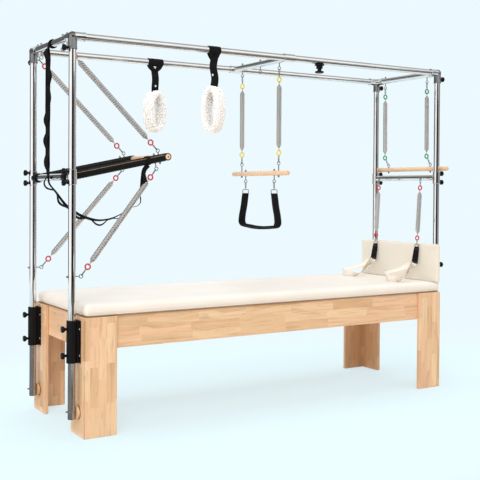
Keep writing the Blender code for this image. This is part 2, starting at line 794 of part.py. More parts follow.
# Carriage of the trapeze, on both top rails.
carriage = drum((TRAPEZE_X, -POST_Y, RAIL_Z), (TRAPEZE_X, POST_Y, RAIL_Z), TUBE_R - 0.001)
joins = []
cuts = []
for sy in (-1, 1):
    start = Vector((TRAPEZE_X - CARRIAGE_HALF, sy * POST_Y, RAIL_Z))
    end = Vector((TRAPEZE_X + CARRIAGE_HALF, sy * POST_Y, RAIL_Z))
    joins.append(drum(start, end, CARRIAGE_R))
    cuts.append(drum(start - X_AXIS * 0.01, end + X_AXIS * 0.01, BORE_R))
for y in (-EYE_Y, 0, EYE_Y):
    joins += eyebolt((TRAPEZE_X, y, RAIL_Z), -Z_AXIS, tube=TUBE_R - 0.001)
node("trapeze_carriage", STEEL, carriage, joins=joins, cuts=cuts, pivot=(TRAPEZE_X, 0, RAIL_Z))

# Trapeze springs and wooden bar.
trapeze_pivot = Vector((TRAPEZE_X, 0, RAIL_Z - EYE_DROP))
for sy, side in ((-1, "front"), (1, "back")):
    top = trapeze_pivot + Y_AXIS * sy * EYE_Y
    low = Vector((TRAPEZE_X, sy * EYE_Y, TRAPEZE_BAR_Z + TRAPEZE_EYE_UP))
    base, joins = spring_parts(top, low, 0.057, 0.052)
    node(f"trapeze_spring_{side}", SPRING, base, joins=joins, pivot=trapeze_pivot)


def dowel_profile(half, radius):
    """Round bar with chamfered ends, for turning."""
    edge = 0.003
    return [
        (0, -half),
        (radius - edge, -half),
        (radius, -half + edge),
        (radius, half - edge),
        (radius - edge, half),
        (0, half),
    ]


bar = turned(dowel_profile(TRAPEZE_BAR_HALF, DOWEL_R), (TRAPEZE_X, 0, TRAPEZE_BAR_Z), Y_AXIS, 16)
joins = []
for sy in (-1, 1):
    joins += eyebolt((TRAPEZE_X, sy * EYE_Y, TRAPEZE_BAR_Z), Z_AXIS, TRAPEZE_EYE_UP, DOWEL_R)
    joins += eyebolt((TRAPEZE_X, sy * SLING_EYE_Y, TRAPEZE_BAR_Z), -Z_AXIS, EYE_DROP, DOWEL_R)
node("trapeze_bar", WOOD, bar, joins=joins, pivot=trapeze_pivot)

# Sling under the trapeze: links, rings and a wide strap with a padded seat.
sling_eye_z = TRAPEZE_BAR_Z - EYE_DROP
sling_pivot = Vector((TRAPEZE_X, 0, sling_eye_z))
d_ring_z = sling_eye_z - SLING_LINK
half = [
    (SLING_EYE_Y, d_ring_z - 0.009),
    (SLING_EYE_Y + 0.018, d_ring_z - 0.090),
    (SLING_EYE_Y + 0.042, SLING_LOW_Z + 0.038),
    (SLING_EYE_Y + 0.034, SLING_LOW_Z + 0.018),
    (SLING_EYE_Y - 0.004, SLING_LOW_Z + 0.007),
    (0.075, SLING_LOW_Z + 0.001),
]
path = [(TRAPEZE_X, y, z) for y, z in half] + [(TRAPEZE_X, -y, z) for y, z in reversed(half)]
thick = [0.002, 0.002, 0.003, 0.006, 0.008, 0.009]
wide = [0.024, 0.024, 0.024, 0.025, 0.026, 0.026]
band = strip(path, X_AXIS, wide + wide[::-1], thick + thick[::-1])
joins = []
for sy in (-1, 1):
    at = Vector((TRAPEZE_X, sy * SLING_EYE_Y, d_ring_z))
    low_wire = Vector((TRAPEZE_X, sy * SLING_EYE_Y, sling_eye_z - EYE_R))
    joins.append(d_ring(at, X_AXIS, Z_AXIS, SLING_D_HALF, SLING_D_UP, SLING_D_DOWN, EYE_WIRE))
    seat = low_wire + Z_AXIS * (EYE_WIRE + HOOK_WIRE + 3 * CLEARANCE)
    joins.append(hook(seat, at + Z_AXIS * (SLING_D_UP + 0.001), Y_AXIS))
node("sling", WEBBING, band, joins=joins, pivot=sling_pivot)

# Roll-down bar: two upright springs from the right end tube and a wooden bar outside the posts.
roll_pivot = Vector((POST_X, 0, RAIL_Z - EYE_DROP))
for sy, side in ((-1, "front"), (1, "back")):
    top = roll_pivot + Y_AXIS * sy * EYE_Y
    low = Vector((ROLL_X, sy * EYE_Y, ROLL_Z + ROLL_EYE))
    hang = Vector((POST_X + ROLL_RING_OUT, sy * EYE_Y, ROLL_Z + ROLL_RING_UP))
    base, joins = spring_parts(top, low, 0.052, 0, hang)
    node(f"roll_spring_{side}", SPRING, base, joins=joins, pivot=roll_pivot)
bar = turned(dowel_profile(ROLL_HALF, DOWEL_R), (ROLL_X, 0, ROLL_Z), Y_AXIS, 16)
joins = []
for sy in (-1, 1):
    joins += eyebolt((ROLL_X, sy * EYE_Y, ROLL_Z), Z_AXIS, ROLL_EYE, DOWEL_R)
node("roll_down_bar", WOOD, bar, joins=joins, pivot=roll_pivot)

# Arm springs on the right crossbar, each with a cotton loop that lies on the mattress. The
# sleeve over the spring's end has its broad side to the front right.
sleeve_wide = Vector((0.722, -0.692, 0))
sleeve_thick = Vector((0.692, 0.722, 0))
for sy, side in ((-1, "front"), (1, "back")):
    pivot = Vector((POST_X - EYE_DROP, sy * EYE_Y, RIGHT_BAR_Z))
    foot = pivot - X_AXIS * ARM_SPRING_LEAN - Z_AXIS * ARM_SPRING_DROP
    base, joins = spring_parts(pivot, foot, 0.055, 0.040, side_b=sleeve_thick)
    node(f"arm_spring_{side}", SPRING, base, joins=joins, pivot=pivot)
    down = (foot - pivot).normalized()
    lean = Vector((-0.17, 0, -0.985)).normalized()
    sleeve_top = foot + down * 0.008
    sleeve_end = sleeve_top + lean * SLEEVE_LENGTH
    sleeve = strip(
        [sleeve_top, sleeve_top + lean * 0.02, sleeve_top + lean * 0.06, sleeve_end],
        sleeve_wide,
        [0.0135, 0.0165, 0.018, 0.020],
        [0.004, 0.005, 0.006, 0.006],
    )
    # The loop starts as two layers in the sleeve, then opens over the mattress. Its sides lean
    # outwards, and the side at the back lies higher.
    begin = sleeve_end - lean * 0.012
    go = [
        (0, 0.075, begin.z, 0, 0),
        (0.193, 0.2424, MAT_TOP_Z + 0.0547, 10, 0.2),
        (0.421, 0.6667, MAT_TOP_Z + 0.0307, 35, 0.7),
        (0.6667, 1, None, 55, 1),
        (0.877, 0.8485, None, 30, 0.7),
        (1, 0.303, None, 0, 0),
    ]
    turn_y = -0.05 if sy < 0 else -0.02
    loop = []
    across = []
    for way, points in ((-1, go), (1, go[::-1])):
        for share, opening, z, tilt, lift in points:
            tilt = math.radians(tilt)
            if z is None:
                z = MAT_TOP_Z + HAND_LOOP_BAND * math.cos(tilt) + 0.003
            if way > 0:
                z += lift * HAND_LOOP_LIFT
            x = begin.x - share * HAND_LOOP_REACH
            y = begin.y + way * opening * HAND_LOOP_HALF + turn_y * share**2
            loop.append((x, y, z))
            across.append(Vector((0, way * math.sin(tilt), math.cos(tilt))))
    widths = [HAND_LOOP_BAND * w for w in (0.684, 0.842, 0.947, 1, 1, 1)]
    band = strip(loop, across, widths + widths[::-1], HAND_LOOP_THICK)
    link = d_ring(foot, sleeve_wide, -down, HAND_RING_HALF, EYE_R, HAND_RING_DOWN, EYE_WIRE)
    node(f"hand_loop_{side}", COTTON, sleeve, joins=[link, band], pivot=pivot)

# Push-through bar: two padded arms that turn on the left crossbar, and the dowel between them.
push_pivot = Vector((-POST_X, 0, LEFT_BAR_Z))
along = Vector((math.cos(ARM_RISE), 0, math.sin(ARM_RISE)))
above = Vector((-math.sin(ARM_RISE), 0, math.cos(ARM_RISE)))
for sy, side in ((-1, "front"), (1, "back")):
    root = push_pivot + Y_AXIS * sy * ARM_Y
    end = root + along * ARM_LENGTH
    half_y = Y_AXIS * ARM_R
    arm = drum(root + along * 0.021, end - along * 0.006, ARM_R, 16)
    hub = drum(root - half_y * 1.05, root + half_y * 1.05, TUBE_R + 0.007)
    eye = drum(end - half_y, end + half_y, ARM_R - 0.0008)
    joins = [hub, eye]
    joins += eyebolt(root + along * ARM_EYE_UP_AT, above, ARM_DROP_UP, ARM_R)
    joins += eyebolt(root + along * ARM_EYE_DOWN_AT, -above, ARM_DROP_DOWN, ARM_R)
    cuts = [
        drum(root - half_y * 1.4, root + half_y * 1.4, TURNING_BORE_R),
        drum(end - half_y * 1.4, end + half_y * 1.4, PUSH_DOWEL_R + CLEARANCE, 16),
    ]
    node(f"push_arm_{side}", BLACK, arm, joins=joins, cuts=cuts, pivot=push_pivot)
end = push_pivot + along * ARM_LENGTH
dowel = turned(dowel_profile(PUSH_DOWEL_HALF, PUSH_DOWEL_R), end, Y_AXIS, 16)
node("push_dowel", WOOD, dowel, pivot=push_pivot)

# Four springs hold the push-through bar: two from the left end tube, two from the left posts.
for sy, side in ((-1, "front"), (1, "back")):
    top = Vector((-POST_X, sy * ARM_Y, RAIL_Z - EYE_DROP))
    low = push_pivot + Y_AXIS * sy * ARM_Y + along * ARM_EYE_UP_AT + above * ARM_DROP_UP
    base, joins = spring_parts(top, low, 0.046, 0.050)
    node(f"push_spring_upper_{side}", SPRING, base, joins=joins, pivot=top)
    top = push_pivot + Y_AXIS * sy * ARM_Y + along * ARM_EYE_DOWN_AT - above * ARM_DROP_DOWN
    low = Vector((-POST_X + EYE_DROP, sy * POST_Y, POST_EYE_Z))
    base, joins = spring_parts(top, low, 0.050, 0.050)
    node(f"push_spring_lower_{side}", SPRING, base, joins=joins, pivot=low)

# Safety strap: round the left end tube, down outside the crossbar, and up round the front arm.
strap_x = -POST_X - TUBE_R - 0.0035
strap_face = Vector((-0.632, 0.775, 0))
wrap_tube = pipe(
    (-POST_X, -STRAP_Y - STRAP_HALF, RAIL_Z),
    (-POST_X, -STRAP_Y + STRAP_HALF, RAIL_Z),
    BORE_R + STRAP_WRAP,
    BORE_R,
)
arm_point = push_pivot - Y_AXIS * ARM_Y + along * STRAP_AT_ARM
arm_bore = ARM_R + CLEARANCE
wrap_arm = pipe(
    arm_point - along * STRAP_HALF, arm_point + along * STRAP_HALF, arm_bore + STRAP_WRAP, arm_bore, 16
)
path = [(strap_x + 0.0008, -STRAP_Y, RAIL_Z)]
for share, y, out in ((0.08, 0.012, 0.002), (0.2804, 0.013, 0.004), (0.85, 0.019, 0.006), (1, 0.022, 0.003)):
    path.append((strap_x - out, -y, RAIL_Z - share * TOP_OVER_LEFT_BAR))
path.append((strap_x + 0.004, -0.030, LEFT_BAR_Z - 0.047))
bow_length = arm_point.x - strap_x
for share, y, fall in (
    (0.1019, 0.042, 0.4714),
    (0.2187, 0.055, 0.7357),
    (0.3462, 0.080, 0.9295),
    (0.4948, 0.110, 1),
    (0.6435, 0.145, 0.9295),
    (0.7815, 0.172, 0.7357),
    (0.8877, 0.195, 0.4714),
    (0.9578, 0.213, 0.163),
):
    path.append((strap_x + share * bow_length, -y, LEFT_BAR_Z - fall * STRAP_BOW_DROP))
path += [arm_point - above * 0.0603, arm_point - above * (ARM_R + 0.0026)]
across = [Y_AXIS, Vector((-0.3, 1, 0)), strap_face, strap_face, Y_AXIS, Y_AXIS]
across += [Vector((0.15 * i, 1, 0)) for i in range(1, 8)]
across += [X_AXIS + Y_AXIS * 0.6, along, along]
strap = strip(path, across, STRAP_HALF - 0.001, STRAP_HALF_THICK)
node("safety_strap", WEBBING, strap, joins=[wrap_tube, wrap_arm], pivot=(-POST_X, 0, RAIL_Z))

# Fleece loops: a broad cuff on a strap that is hitched round the top rail.
for sy, side, x, drop, half_high, half_wide, facing, hitch_half in (
    (1, "back", LOOP_BACK_X, LOOP_BACK_DROP, LOOP_BACK_HALF, LOOP_BACK_WIDTH, LOOP_BACK_WAY, HITCH_BACK),
    (-1, "front", LOOP_FRONT_X, LOOP_FRONT_DROP, LOOP_FRONT_HALF, LOOP_FRONT_WIDTH, LOOP_FRONT_WAY, HITCH_FRONT),
):
    centre = Vector((x, sy * POST_Y, RAIL_Z - drop))
    y = sy * POST_Y
    hitch = pipe(
        (x - hitch_half, y, RAIL_Z),
        (x + hitch_half, y, RAIL_Z),
        TURNING_BORE_R + HITCH_THICK,
        TURNING_BORE_R,
    )
    hang = [
        (x, y, RAIL_Z - TUBE_R - 0.002),
        (x, y, RAIL_Z - HITCH_DROP),
        (x, y, centre.z + half_high - 0.02),
    ]
    widths = [hitch_half * 0.8, LOOP_BAND_HALF, LOOP_BAND_HALF]
    band = strip(hang, X_AXIS, widths, LOOP_BAND_THICK)
    facing = Vector(facing).normalized()
    wide = facing.cross(Z_AXIS)
    a = half_wide - CUFF_THICK
    b = half_high - CUFF_THICK
    steps = [i * math.tau / 20 for i in range(20)]
    oval = [centre + wide * a * math.cos(t) + Z_AXIS * b * math.sin(t) for t in steps]
    cuff = bevel(strip(oval, facing, CUFF_HALF, CUFF_THICK, cyclic=True), CUFF_ROUND, 2, 50)
    node(f"fleece_loop_{side}", FLEECE, cuff, joins=[band, hitch], pivot=(x, y, RAIL_Z))
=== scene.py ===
# %% [markdown]
# # A pilates trapeze table
# The real object is a padded wooden bed under a cage of polished steel tube. Springs, bars, straps and
# loops hang from the cage. Its solids were already modelled and packed, so this script starts from them.
# It keeps the boards as they are and gives every other part its finished shape: smooth tube, wound
# springs, woven straps, pile, upholstery and fasteners. Everything is in metres, X along the bed, Z up.

import json
import math

import bmesh
import bpy
import numpy as np
from mathutils import Matrix, Vector, noise

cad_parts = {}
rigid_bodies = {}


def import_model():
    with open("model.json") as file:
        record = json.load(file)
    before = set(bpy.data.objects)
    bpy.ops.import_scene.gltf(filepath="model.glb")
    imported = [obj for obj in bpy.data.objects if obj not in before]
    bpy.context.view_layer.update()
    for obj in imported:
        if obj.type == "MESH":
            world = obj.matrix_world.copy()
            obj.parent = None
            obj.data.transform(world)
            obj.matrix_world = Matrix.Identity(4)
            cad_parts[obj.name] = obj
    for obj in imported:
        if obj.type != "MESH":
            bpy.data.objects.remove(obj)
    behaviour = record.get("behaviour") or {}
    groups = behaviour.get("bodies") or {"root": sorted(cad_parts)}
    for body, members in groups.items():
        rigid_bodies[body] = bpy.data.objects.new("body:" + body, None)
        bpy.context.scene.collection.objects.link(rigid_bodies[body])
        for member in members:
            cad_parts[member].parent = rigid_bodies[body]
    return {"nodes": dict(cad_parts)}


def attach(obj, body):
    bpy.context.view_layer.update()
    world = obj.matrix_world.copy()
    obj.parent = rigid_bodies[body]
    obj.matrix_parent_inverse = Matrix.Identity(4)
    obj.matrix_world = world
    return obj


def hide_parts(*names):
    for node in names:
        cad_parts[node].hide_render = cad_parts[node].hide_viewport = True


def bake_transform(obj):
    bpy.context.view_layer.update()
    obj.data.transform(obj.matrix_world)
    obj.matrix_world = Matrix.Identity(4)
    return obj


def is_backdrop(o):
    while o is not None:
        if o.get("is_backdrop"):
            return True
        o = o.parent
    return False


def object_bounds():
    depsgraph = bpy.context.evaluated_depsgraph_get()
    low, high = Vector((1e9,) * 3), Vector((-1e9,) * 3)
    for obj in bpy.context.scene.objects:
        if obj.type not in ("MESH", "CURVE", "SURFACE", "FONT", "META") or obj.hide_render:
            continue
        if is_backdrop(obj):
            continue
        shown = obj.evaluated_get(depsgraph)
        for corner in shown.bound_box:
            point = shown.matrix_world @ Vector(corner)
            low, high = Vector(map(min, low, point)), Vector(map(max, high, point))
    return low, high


for old in list(bpy.data.objects):
    bpy.data.objects.remove(old, do_unlink=True)
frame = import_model()
cad_low, cad_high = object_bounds()

# %% [markdown]
# ## Camera
# The picture is taken from about five metres away, at chest height, looking along the bed from its
# left front corner. Its lines converge, so place, turn and focal length are worked out together. The
# verticals are almost upright in the picture although its centre lies below the horizon: that is a
# shifted lens and not a tilted camera, so the camera gets a small vertical shift.

# %% Set up the camera
CAMERA_AT = (-2.82099, -4.47853, 1.23590)
YAW, PITCH, ROLL = (math.radians(a) for a in (31.7398, -0.9302, 0.3575))
FOCAL_PX, CENTRE_PX, SIDE_PX = 883.7223, (242.416, 204.78), 480
forward = Vector((math.sin(YAW) * math.cos(PITCH), math.cos(YAW) * math.cos(PITCH), math.sin(PITCH)))
level = Vector((math.cos(YAW), -math.sin(YAW), 0))
above = level.cross(forward)
right = level * math.cos(ROLL) + above * math.sin(ROLL)
above = above * math.cos(ROLL) - level * math.sin(ROLL)


def object_of(name, data):
    """New object in the scene."""
    made = bpy.data.objects.new(name, data)
    bpy.context.scene.collection.objects.link(made)
    return made


lens = bpy.data.cameras.new("camera")
camera = object_of("camera", lens)
bpy.context.scene.camera = camera
camera.matrix_world = Matrix.Translation(CAMERA_AT) @ Matrix((right, above, -forward)).transposed().to_4x4()
lens.sensor_width = 36.0
lens.lens = FOCAL_PX / SIDE_PX * lens.sensor_width
lens.shift_x = (SIDE_PX / 2 - CENTRE_PX[0]) / SIDE_PX
lens.shift_y = (CENTRE_PX[1] - SIDE_PX / 2) / SIDE_PX
lens.clip_end = 200
print("lens", round(lens.lens, 2), "mm, shift", round(lens.shift_x, 4), round(lens.shift_y, 4))

# %% [markdown]
# ## Expressions that build nodes
# Shader and geometry trees are easier to read as formulas. A small class wraps one socket, and its
# operators add Math nodes, so `1 - mask * 0.2` works. Every other node comes from one function.

# %% Socket class and node function
class Value:
    """One output socket. Operators on it add Math nodes to its tree."""

    def __init__(self, tree, socket):
        self.tree = tree
        self.socket = socket

    def math(self, operation, *others):
        return add(self.tree, "ShaderNodeMath", {"operation": operation}, dict(enumerate((self, *others))))

    def __add__(self, other):
        return self.math("ADD", other)

    __radd__ = __add__

    def __mul__(self, other):
        return self.math("MULTIPLY", other)

    __rmul__ = __mul__

    def __sub__(self, other):
        return self.math("SUBTRACT", other)

    def __rsub__(self, other):
        return self.math("MULTIPLY_ADD", -1.0, other)

    def __truediv__(self, other):
        return self.math("DIVIDE", other)

    def out(self, name):
        """Another output of the same node."""
        return Value(self.tree, self.socket.node.outputs[name])

    def ramp(self, low, high, to_low=0.0, to_high=1.0):
        """Smooth step of this value from one range to another."""
        sockets = {0: self, 1: low, 2: high, 3: to_low, 4: to_high}
        return add(self.tree, "ShaderNodeMapRange", {"interpolation_type": "SMOOTHSTEP"}, sockets)


def add(tree, kind, settings=None, sockets=None, output=0):
    """Adds a node: settings first, then the values or links of its sockets."""
    node = tree.nodes.new(kind)
    for name, value in (settings or {}).items():
        setattr(node, name, value)
    for key, value in (sockets or {}).items():
        socket = node.inputs[key]
        if isinstance(value, Value):
            tree.links.new(value.socket, socket)
        elif socket.type == "RGBA" and len(value) == 3:
            socket.default_value = (*value, 1)
        else:
            socket.default_value = value
    return Value(tree, node.outputs[output])


def mix(a, b, share):
    """Colour between two colours, by a share that may vary."""
    tree = next(v.tree for v in (a, b, share) if isinstance(v, Value))
    return add(tree, "ShaderNodeMix", {"data_type": "RGBA"}, {0: share, 6: a, 7: b}, output=2)


def shade(colour, by):
    """A colour made darker or lighter by a factor."""
    return tuple(min(1.0, c * by) for c in colour)


def vector(*xyz):
    """A vector from numbers and values."""
    tree = next(v.tree for v in xyz if isinstance(v, Value))
    return add(tree, "ShaderNodeCombineXYZ", None, dict(enumerate(xyz)))


def texture(where, scale, detail=2.0, roughness=0.5):
    """Soft noise between 0 and 1."""
    sockets = {"Vector": where, "Scale": scale, "Detail": detail, "Roughness": roughness}
    return add(where.tree, "ShaderNodeTexNoise", None, sockets)


# %% [markdown]
# ## Finishes
# Each finish is one material with its own colour, roughness and surface relief. The function below
# starts a material, and hands back its tree and the coordinates of the piece. The last step of every
# finish is to plug what varies into the shader, and a Bump node where the surface has relief.

# %% Start and end of a finish
def start(name):
    """A new material, its tree and the coordinates of the piece."""
    made = bpy.data.materials.new(name)
    made.use_nodes = True
    tree = made.node_tree
    where = add(tree, "ShaderNodeTexCoord", output="Object")
    return made, tree, where


def close(made, sockets, height=None, depth=0.001, strength=1.0):
    """Plugs values into the shader, and a height into a bump of this depth in metres."""
    tree = made.node_tree
    shader = tree.nodes["Principled BSDF"]
    if height is not None:
        bump = {"Height": height, "Distance": depth, "Strength": strength}
        sockets = {**sockets, "Normal": add(tree, "ShaderNodeBump", None, bump)}
    for name, value in sockets.items():
        if isinstance(value, Value):
            tree.links.new(value.socket, shader.inputs[name])
        elif hasattr(value, "__len__"):
            shader.inputs[name].default_value = (*value, 1)
        else:
            shader.inputs[name].default_value = value
    return made


# %% [markdown]
# ### Metals and plastics
# Polished stainless tube is almost a mirror. What makes it real is a faint haze from handling and very
# fine polishing lines. The springs are drawn wire with a duller, browner skin. Clamps are powder coated,
# which leaves a fine orange peel, and knobs are moulded plastic with a tighter gloss.

# %% Metal, enamel and plastic finishes
def metal(name, colour, rough, haze, metallic=1.0, grain=400.0, depth=0.00002, specular=0.5):
    """Metal, enamel or moulded plastic with smudges and a fine grain."""
    made, tree, where = start(name)
    smudge = texture(where, 9.0, 3.0)
    fine = texture(where, grain, 1.0)
    tint = mix(shade(colour, 0.93), colour, smudge.ramp(0.35, 0.65))
    roughness = smudge.ramp(0.4, 0.75) * haze + rough
    sockets = {"Base Color": tint, "Metallic": metallic, "Roughness": roughness, "Specular IOR Level": specular}
    return close(made, sockets, fine, depth)


polished = metal("polished_steel", (0.875, 0.87, 0.86), 0.035, 0.05)
plated = metal("plated_steel", (0.42, 0.41, 0.40), 0.17, 0.10)
# Dark steel of the corner fittings: painted dark reflection of polished metal.
painted_dark_steel = metal("painted_dark_steel", (0.25, 0.245, 0.24), 0.08, 0.06)
wire_steel = metal("spring_wire", (0.80, 0.765, 0.735), 0.38, 0.08)
# Darker steel of the lower posts: painted shade, for the darker reflections under the bed.
painted_shade_steel = metal("painted_shade_steel", (0.50, 0.485, 0.485), 0.15, 0.10)
bright_steel = metal("bright_steel", (0.88, 0.87, 0.85), 0.35, 0.10, 0.5)
enamel = metal("black_enamel", (0.007, 0.007, 0.008), 0.42, 0.08, 0.0, 900.0, 0.00012, 0.16)
knob_plastic = metal("knob_plastic", (0.006, 0.006, 0.007), 0.30, 0.10, 0.0, 300.0, specular=0.20)
dipped = {
    "red": metal("red_dip", (0.60, 0.03, 0.035), 0.30, 0.10, 0.0, 200.0),
    "yellow": metal("yellow_dip", (0.88, 0.70, 0.03), 0.30, 0.10, 0.0, 200.0),
    "green": metal("green_dip", (0.012, 0.30, 0.10), 0.30, 0.10, 0.0, 200.0),
}
print(len(bpy.data.materials), "finishes so far")

# %% [markdown]
# ### Wood
# The boards are not sawn from one plank: short blocks of pale wood are finger jointed end to end into
# staves, and the staves are glued edge to edge. So the pattern is built the same way. One coordinate runs
# along the grain and one across it. The stave number comes from the second, each stave is slid along by
# its own random amount, and each block gets its own tint and its own piece of grain.

# %% Wood finish
PALE, TAN, ROSY = (0.86, 0.62, 0.385), (0.66, 0.385, 0.20), (0.84, 0.525, 0.335)


def wood(name, along, across, pale=PALE, tan=TAN, blocks=True, stave_wide=0.0489, block_long=0.30, corner=None):
    """Glued blocks of pale wood. Corner is the (x, y) of a leg's outer edge, where a thin dark line shows."""
    made, tree, where = start(name)
    parts = add(tree, "ShaderNodeSeparateXYZ", None, {0: where})
    axes = {"x": parts.out("X"), "y": parts.out("Y"), "z": parts.out("Z")}
    run = axes[along]
    side = axes[across[0]] + axes[across[1]]
    # The added 31.3 and 40 only keep the counts of staves and blocks above zero.
    staves = side / stave_wide + 31.3
    stave = staves.math("FLOOR")
    slide = add(tree, "ShaderNodeTexWhiteNoise", {"noise_dimensions": "1D"}, {"W": stave})
    if blocks:
        fingers = (side * 260.0).math("PINGPONG", 0.5) * 0.010
        number = ((run + fingers) / block_long + slide * 7.0 + 40.0).math("FLOOR")
        sockets = {"Vector": vector(stave, number, 3.0)}
        chance = add(tree, "ShaderNodeTexWhiteNoise", {"noise_dimensions": "3D"}, sockets)
    else:
        chance = slide * 0.0 + 0.35
    grain_at = vector(run * 3.0 + chance * 17.0, side * 46.0, chance * 5.0)
    grain = texture(grain_at, 1.6, 4.0, 0.6)
    rings = texture(vector(run * 1.4 + chance * 9.0, side * 15.0, chance * 3.0), 1.5, 2.0)
    fleck = texture(vector(run * 30.0, side * 420.0, chance), 1.0, 1.0)
    tint = mix(tan, pale, (chance * 0.80 + 0.22))
    rosy = (chance * 7.31).math("FRACT").ramp(0.45, 0.9) * 0.60
    tint = mix(tint, ROSY, rosy)
    tint = mix(tint, shade(tan, 0.72), grain.ramp(0.46, 0.74) * 0.50)
    tint = mix(tint, shade(pale, 1.10), rings.ramp(0.50, 0.74) * 0.30)
    tint = mix(tint, shade(tan, 0.6), fleck.ramp(0.60, 0.80) * 0.22)
    wave = texture(vector(run * 1.1 + chance * 5.0, side * 9.0, chance), 2.2, 3.0)
    figure = texture(vector(run * 2.0, side * 60.0 + wave * 9.0, chance * 4.0), 1.0, 2.0)
    tint = mix(tint, shade(tan, 0.55), figure.ramp(0.50, 0.78) * 0.34)
    if blocks:
        glue = staves.math("FRACT").math("PINGPONG", 0.5)
        tint = mix(tint, shade(tan, 0.66), glue.ramp(0.0, 0.012, 0.30, 0.0))
    if corner:
        wander = texture(vector(0.0, 0.0, axes["z"] * 22.0 + axes["x"] + axes["y"]), 1.0, 3.0) * 0.0035
        edge_x, edge_y = (axes[k].math("ABSOLUTE") - (at - 0.0036) + wander for k, at in zip("xy", corner))
        tint = mix(tint, (0.16, 0.08, 0.035), edge_x.math("MINIMUM", edge_y).ramp(0.0, 0.0016) * 0.36)
    roughness = grain * 0.12 + 0.33
    height = grain * 0.5 + fleck * 0.5
    return close(made, {"Base Color": tint, "Roughness": roughness, "Coat Weight": 0.12}, height, 0.0002)


LEG_X, LEG_Y = 1.1955, 0.378
leg_wood = wood("leg_wood", "z", "xy", stave_wide=0.045, block_long=0.20, corner=(LEG_X, LEG_Y))
side_wood = wood("side_wood", "x", "yz")
end_wood = wood("end_wood", "y", "xz")
dowel_wood = wood("dowel_wood", "y", "xz", (0.86, 0.62, 0.42), (0.76, 0.50, 0.32), blocks=False)
WOOD_OF = {
    "leg": leg_wood,
    "rail_front": side_wood,
    "rail_back": side_wood,
    "deck": side_wood,
    "rail_left": end_wood,
    "rail_right": end_wood,
}
for name, solid in frame["nodes"].items():
    for start_of, finish in WOOD_OF.items():
        if name.startswith(start_of):
            solid.data.materials.clear()
            solid.data.materials.append(finish)
print("boards finished")

# %% [markdown]
# ### Upholstery and cloth
# The bed is covered in smooth off-white vinyl with a shallow pebble grain. Straps are woven: their ribs
# run across and follow the strap, so that pattern reads an attribute called run, which the strap maker
# further down writes as distance along and across. The pile of the cuffs is real geometry, and its
# material only adds a bump and a faint painted shade between the curls.

# %% Vinyl, webbing and pile finishes
def vinyl(name, colour):
    """Coated cloth with a pebble grain."""
    made, tree, where = start(name)
    pebble = {"Vector": where, "Scale": 420.0, "Randomness": 1.0}
    cells = add(tree, "ShaderNodeTexVoronoi", {"feature": "SMOOTH_F1"}, pebble)
    cloud = texture(where, 5.0, 3.0)
    tint = mix(shade(colour, 0.965), colour, cloud.ramp(0.35, 0.7))
    roughness = cells * 0.10 + 0.36
    sockets = {"Base Color": tint, "Roughness": roughness, "Specular IOR Level": 0.30}
    return close(made, sockets, cells, 0.0003, 0.6)


def woven(name, colour, rib, across, rough=0.75, contrast=0.6):
    """Webbing: rib and across are the sizes of one rib and one thread, in metres."""
    made, tree, where = start(name)
    run = add(tree, "ShaderNodeAttribute", {"attribute_name": "run"}, output="Vector")
    parts = add(tree, "ShaderNodeSeparateXYZ", None, {0: run})
    warp = (parts.out("Y") * (math.tau / across)).math("SINE")
    weft = (parts.out("X") * (math.tau / rib) + warp * 1.2).math("SINE")
    weave = warp * 0.25 + weft * 0.25 + 0.5
    fuzz = texture(where, 900.0, 2.0)
    tint = mix(shade(colour, contrast), colour, weave * 0.7 + fuzz * 0.3)
    sockets = {"Base Color": tint, "Roughness": rough, "Specular IOR Level": 0.12}
    return close(made, sockets, weave + fuzz * 0.4, 0.0005)


cream_vinyl = vinyl("cream_vinyl", (0.855, 0.805, 0.738))
# Brown woven strip round the mattress's lower edge: painted shadow line.
shadow_line_finish = woven("painted_shadow_cloth", (0.50, 0.30, 0.17), 0.0030, 0.0022)
board_vinyl = vinyl("board_vinyl", (0.80, 0.745, 0.65))
webbing = woven("black_webbing", (0.011, 0.011, 0.012), 0.0022, 0.0016)
cotton = woven("cotton_webbing", (0.90, 0.83, 0.73), 0.0030, 0.0022, 0.85, 0.86)
arm_cover = woven("arm_cover", (0.011, 0.011, 0.0115), 0.0030, 0.0030, 0.50)
binding = woven("binding", (0.045, 0.045, 0.047), 0.0020, 0.0020, 0.6)
thread = metal("thread", (0.07, 0.07, 0.07), 0.6, 0.1, 0.0, specular=0.2)
white_thread = metal("white_thread", (0.80, 0.74, 0.64), 0.6, 0.1, 0.0)
# Tan line colour: painted shade along the cotton loops, and painted highlight along the padded arms.
painted_line_finish = metal("painted_shade_and_highlight_lines", (0.28, 0.21, 0.13), 0.8, 0.1, 0.0)


def fleece_finish(name, colour):
    """Matt pile with soft shadows between its curls."""
    made, tree, where = start(name)
    curls = texture(where, 130.0, 4.0, 0.65)
    # Painted shade: a little darker between the curls.
    tint = mix(shade(colour, 0.985), colour, curls.ramp(0.35, 0.6))
    sockets = {"Base Color": tint, "Roughness": 1.0, "Specular IOR Level": 0.0}
    return close(made, sockets, curls, 0.0008)


pile = fleece_finish("white_pile", (0.99, 0.985, 0.975))
print(len(bpy.data.materials), "finishes")

# %% [markdown]
# ## Makers of shape
# Almost everything here is turned, swept along a path, or a block with rounded edges. Each maker returns
# points, faces and the run attribute. One function then joins what belongs to a piece into one mesh,
# turns the faces outwards, and hands the piece to its body.

# %% Turning, sweeping and blocks
X, Y, Z = Vector((1, 0, 0)), Vector((0, 1, 0)), Vector((0, 0, 1))
EASED = 0.0006


def turn_to(direction, at):
    """Matrix that carries Z onto a direction and the origin onto a point."""
    z = Vector(direction).normalized()
    hint = Z if abs(z.z) < 0.7 else X
    x = (hint - z * hint.dot(z)).normalized()
    return Matrix.Translation(Vector(at)) @ Matrix((x, z.cross(x), z)).transposed().to_4x4()


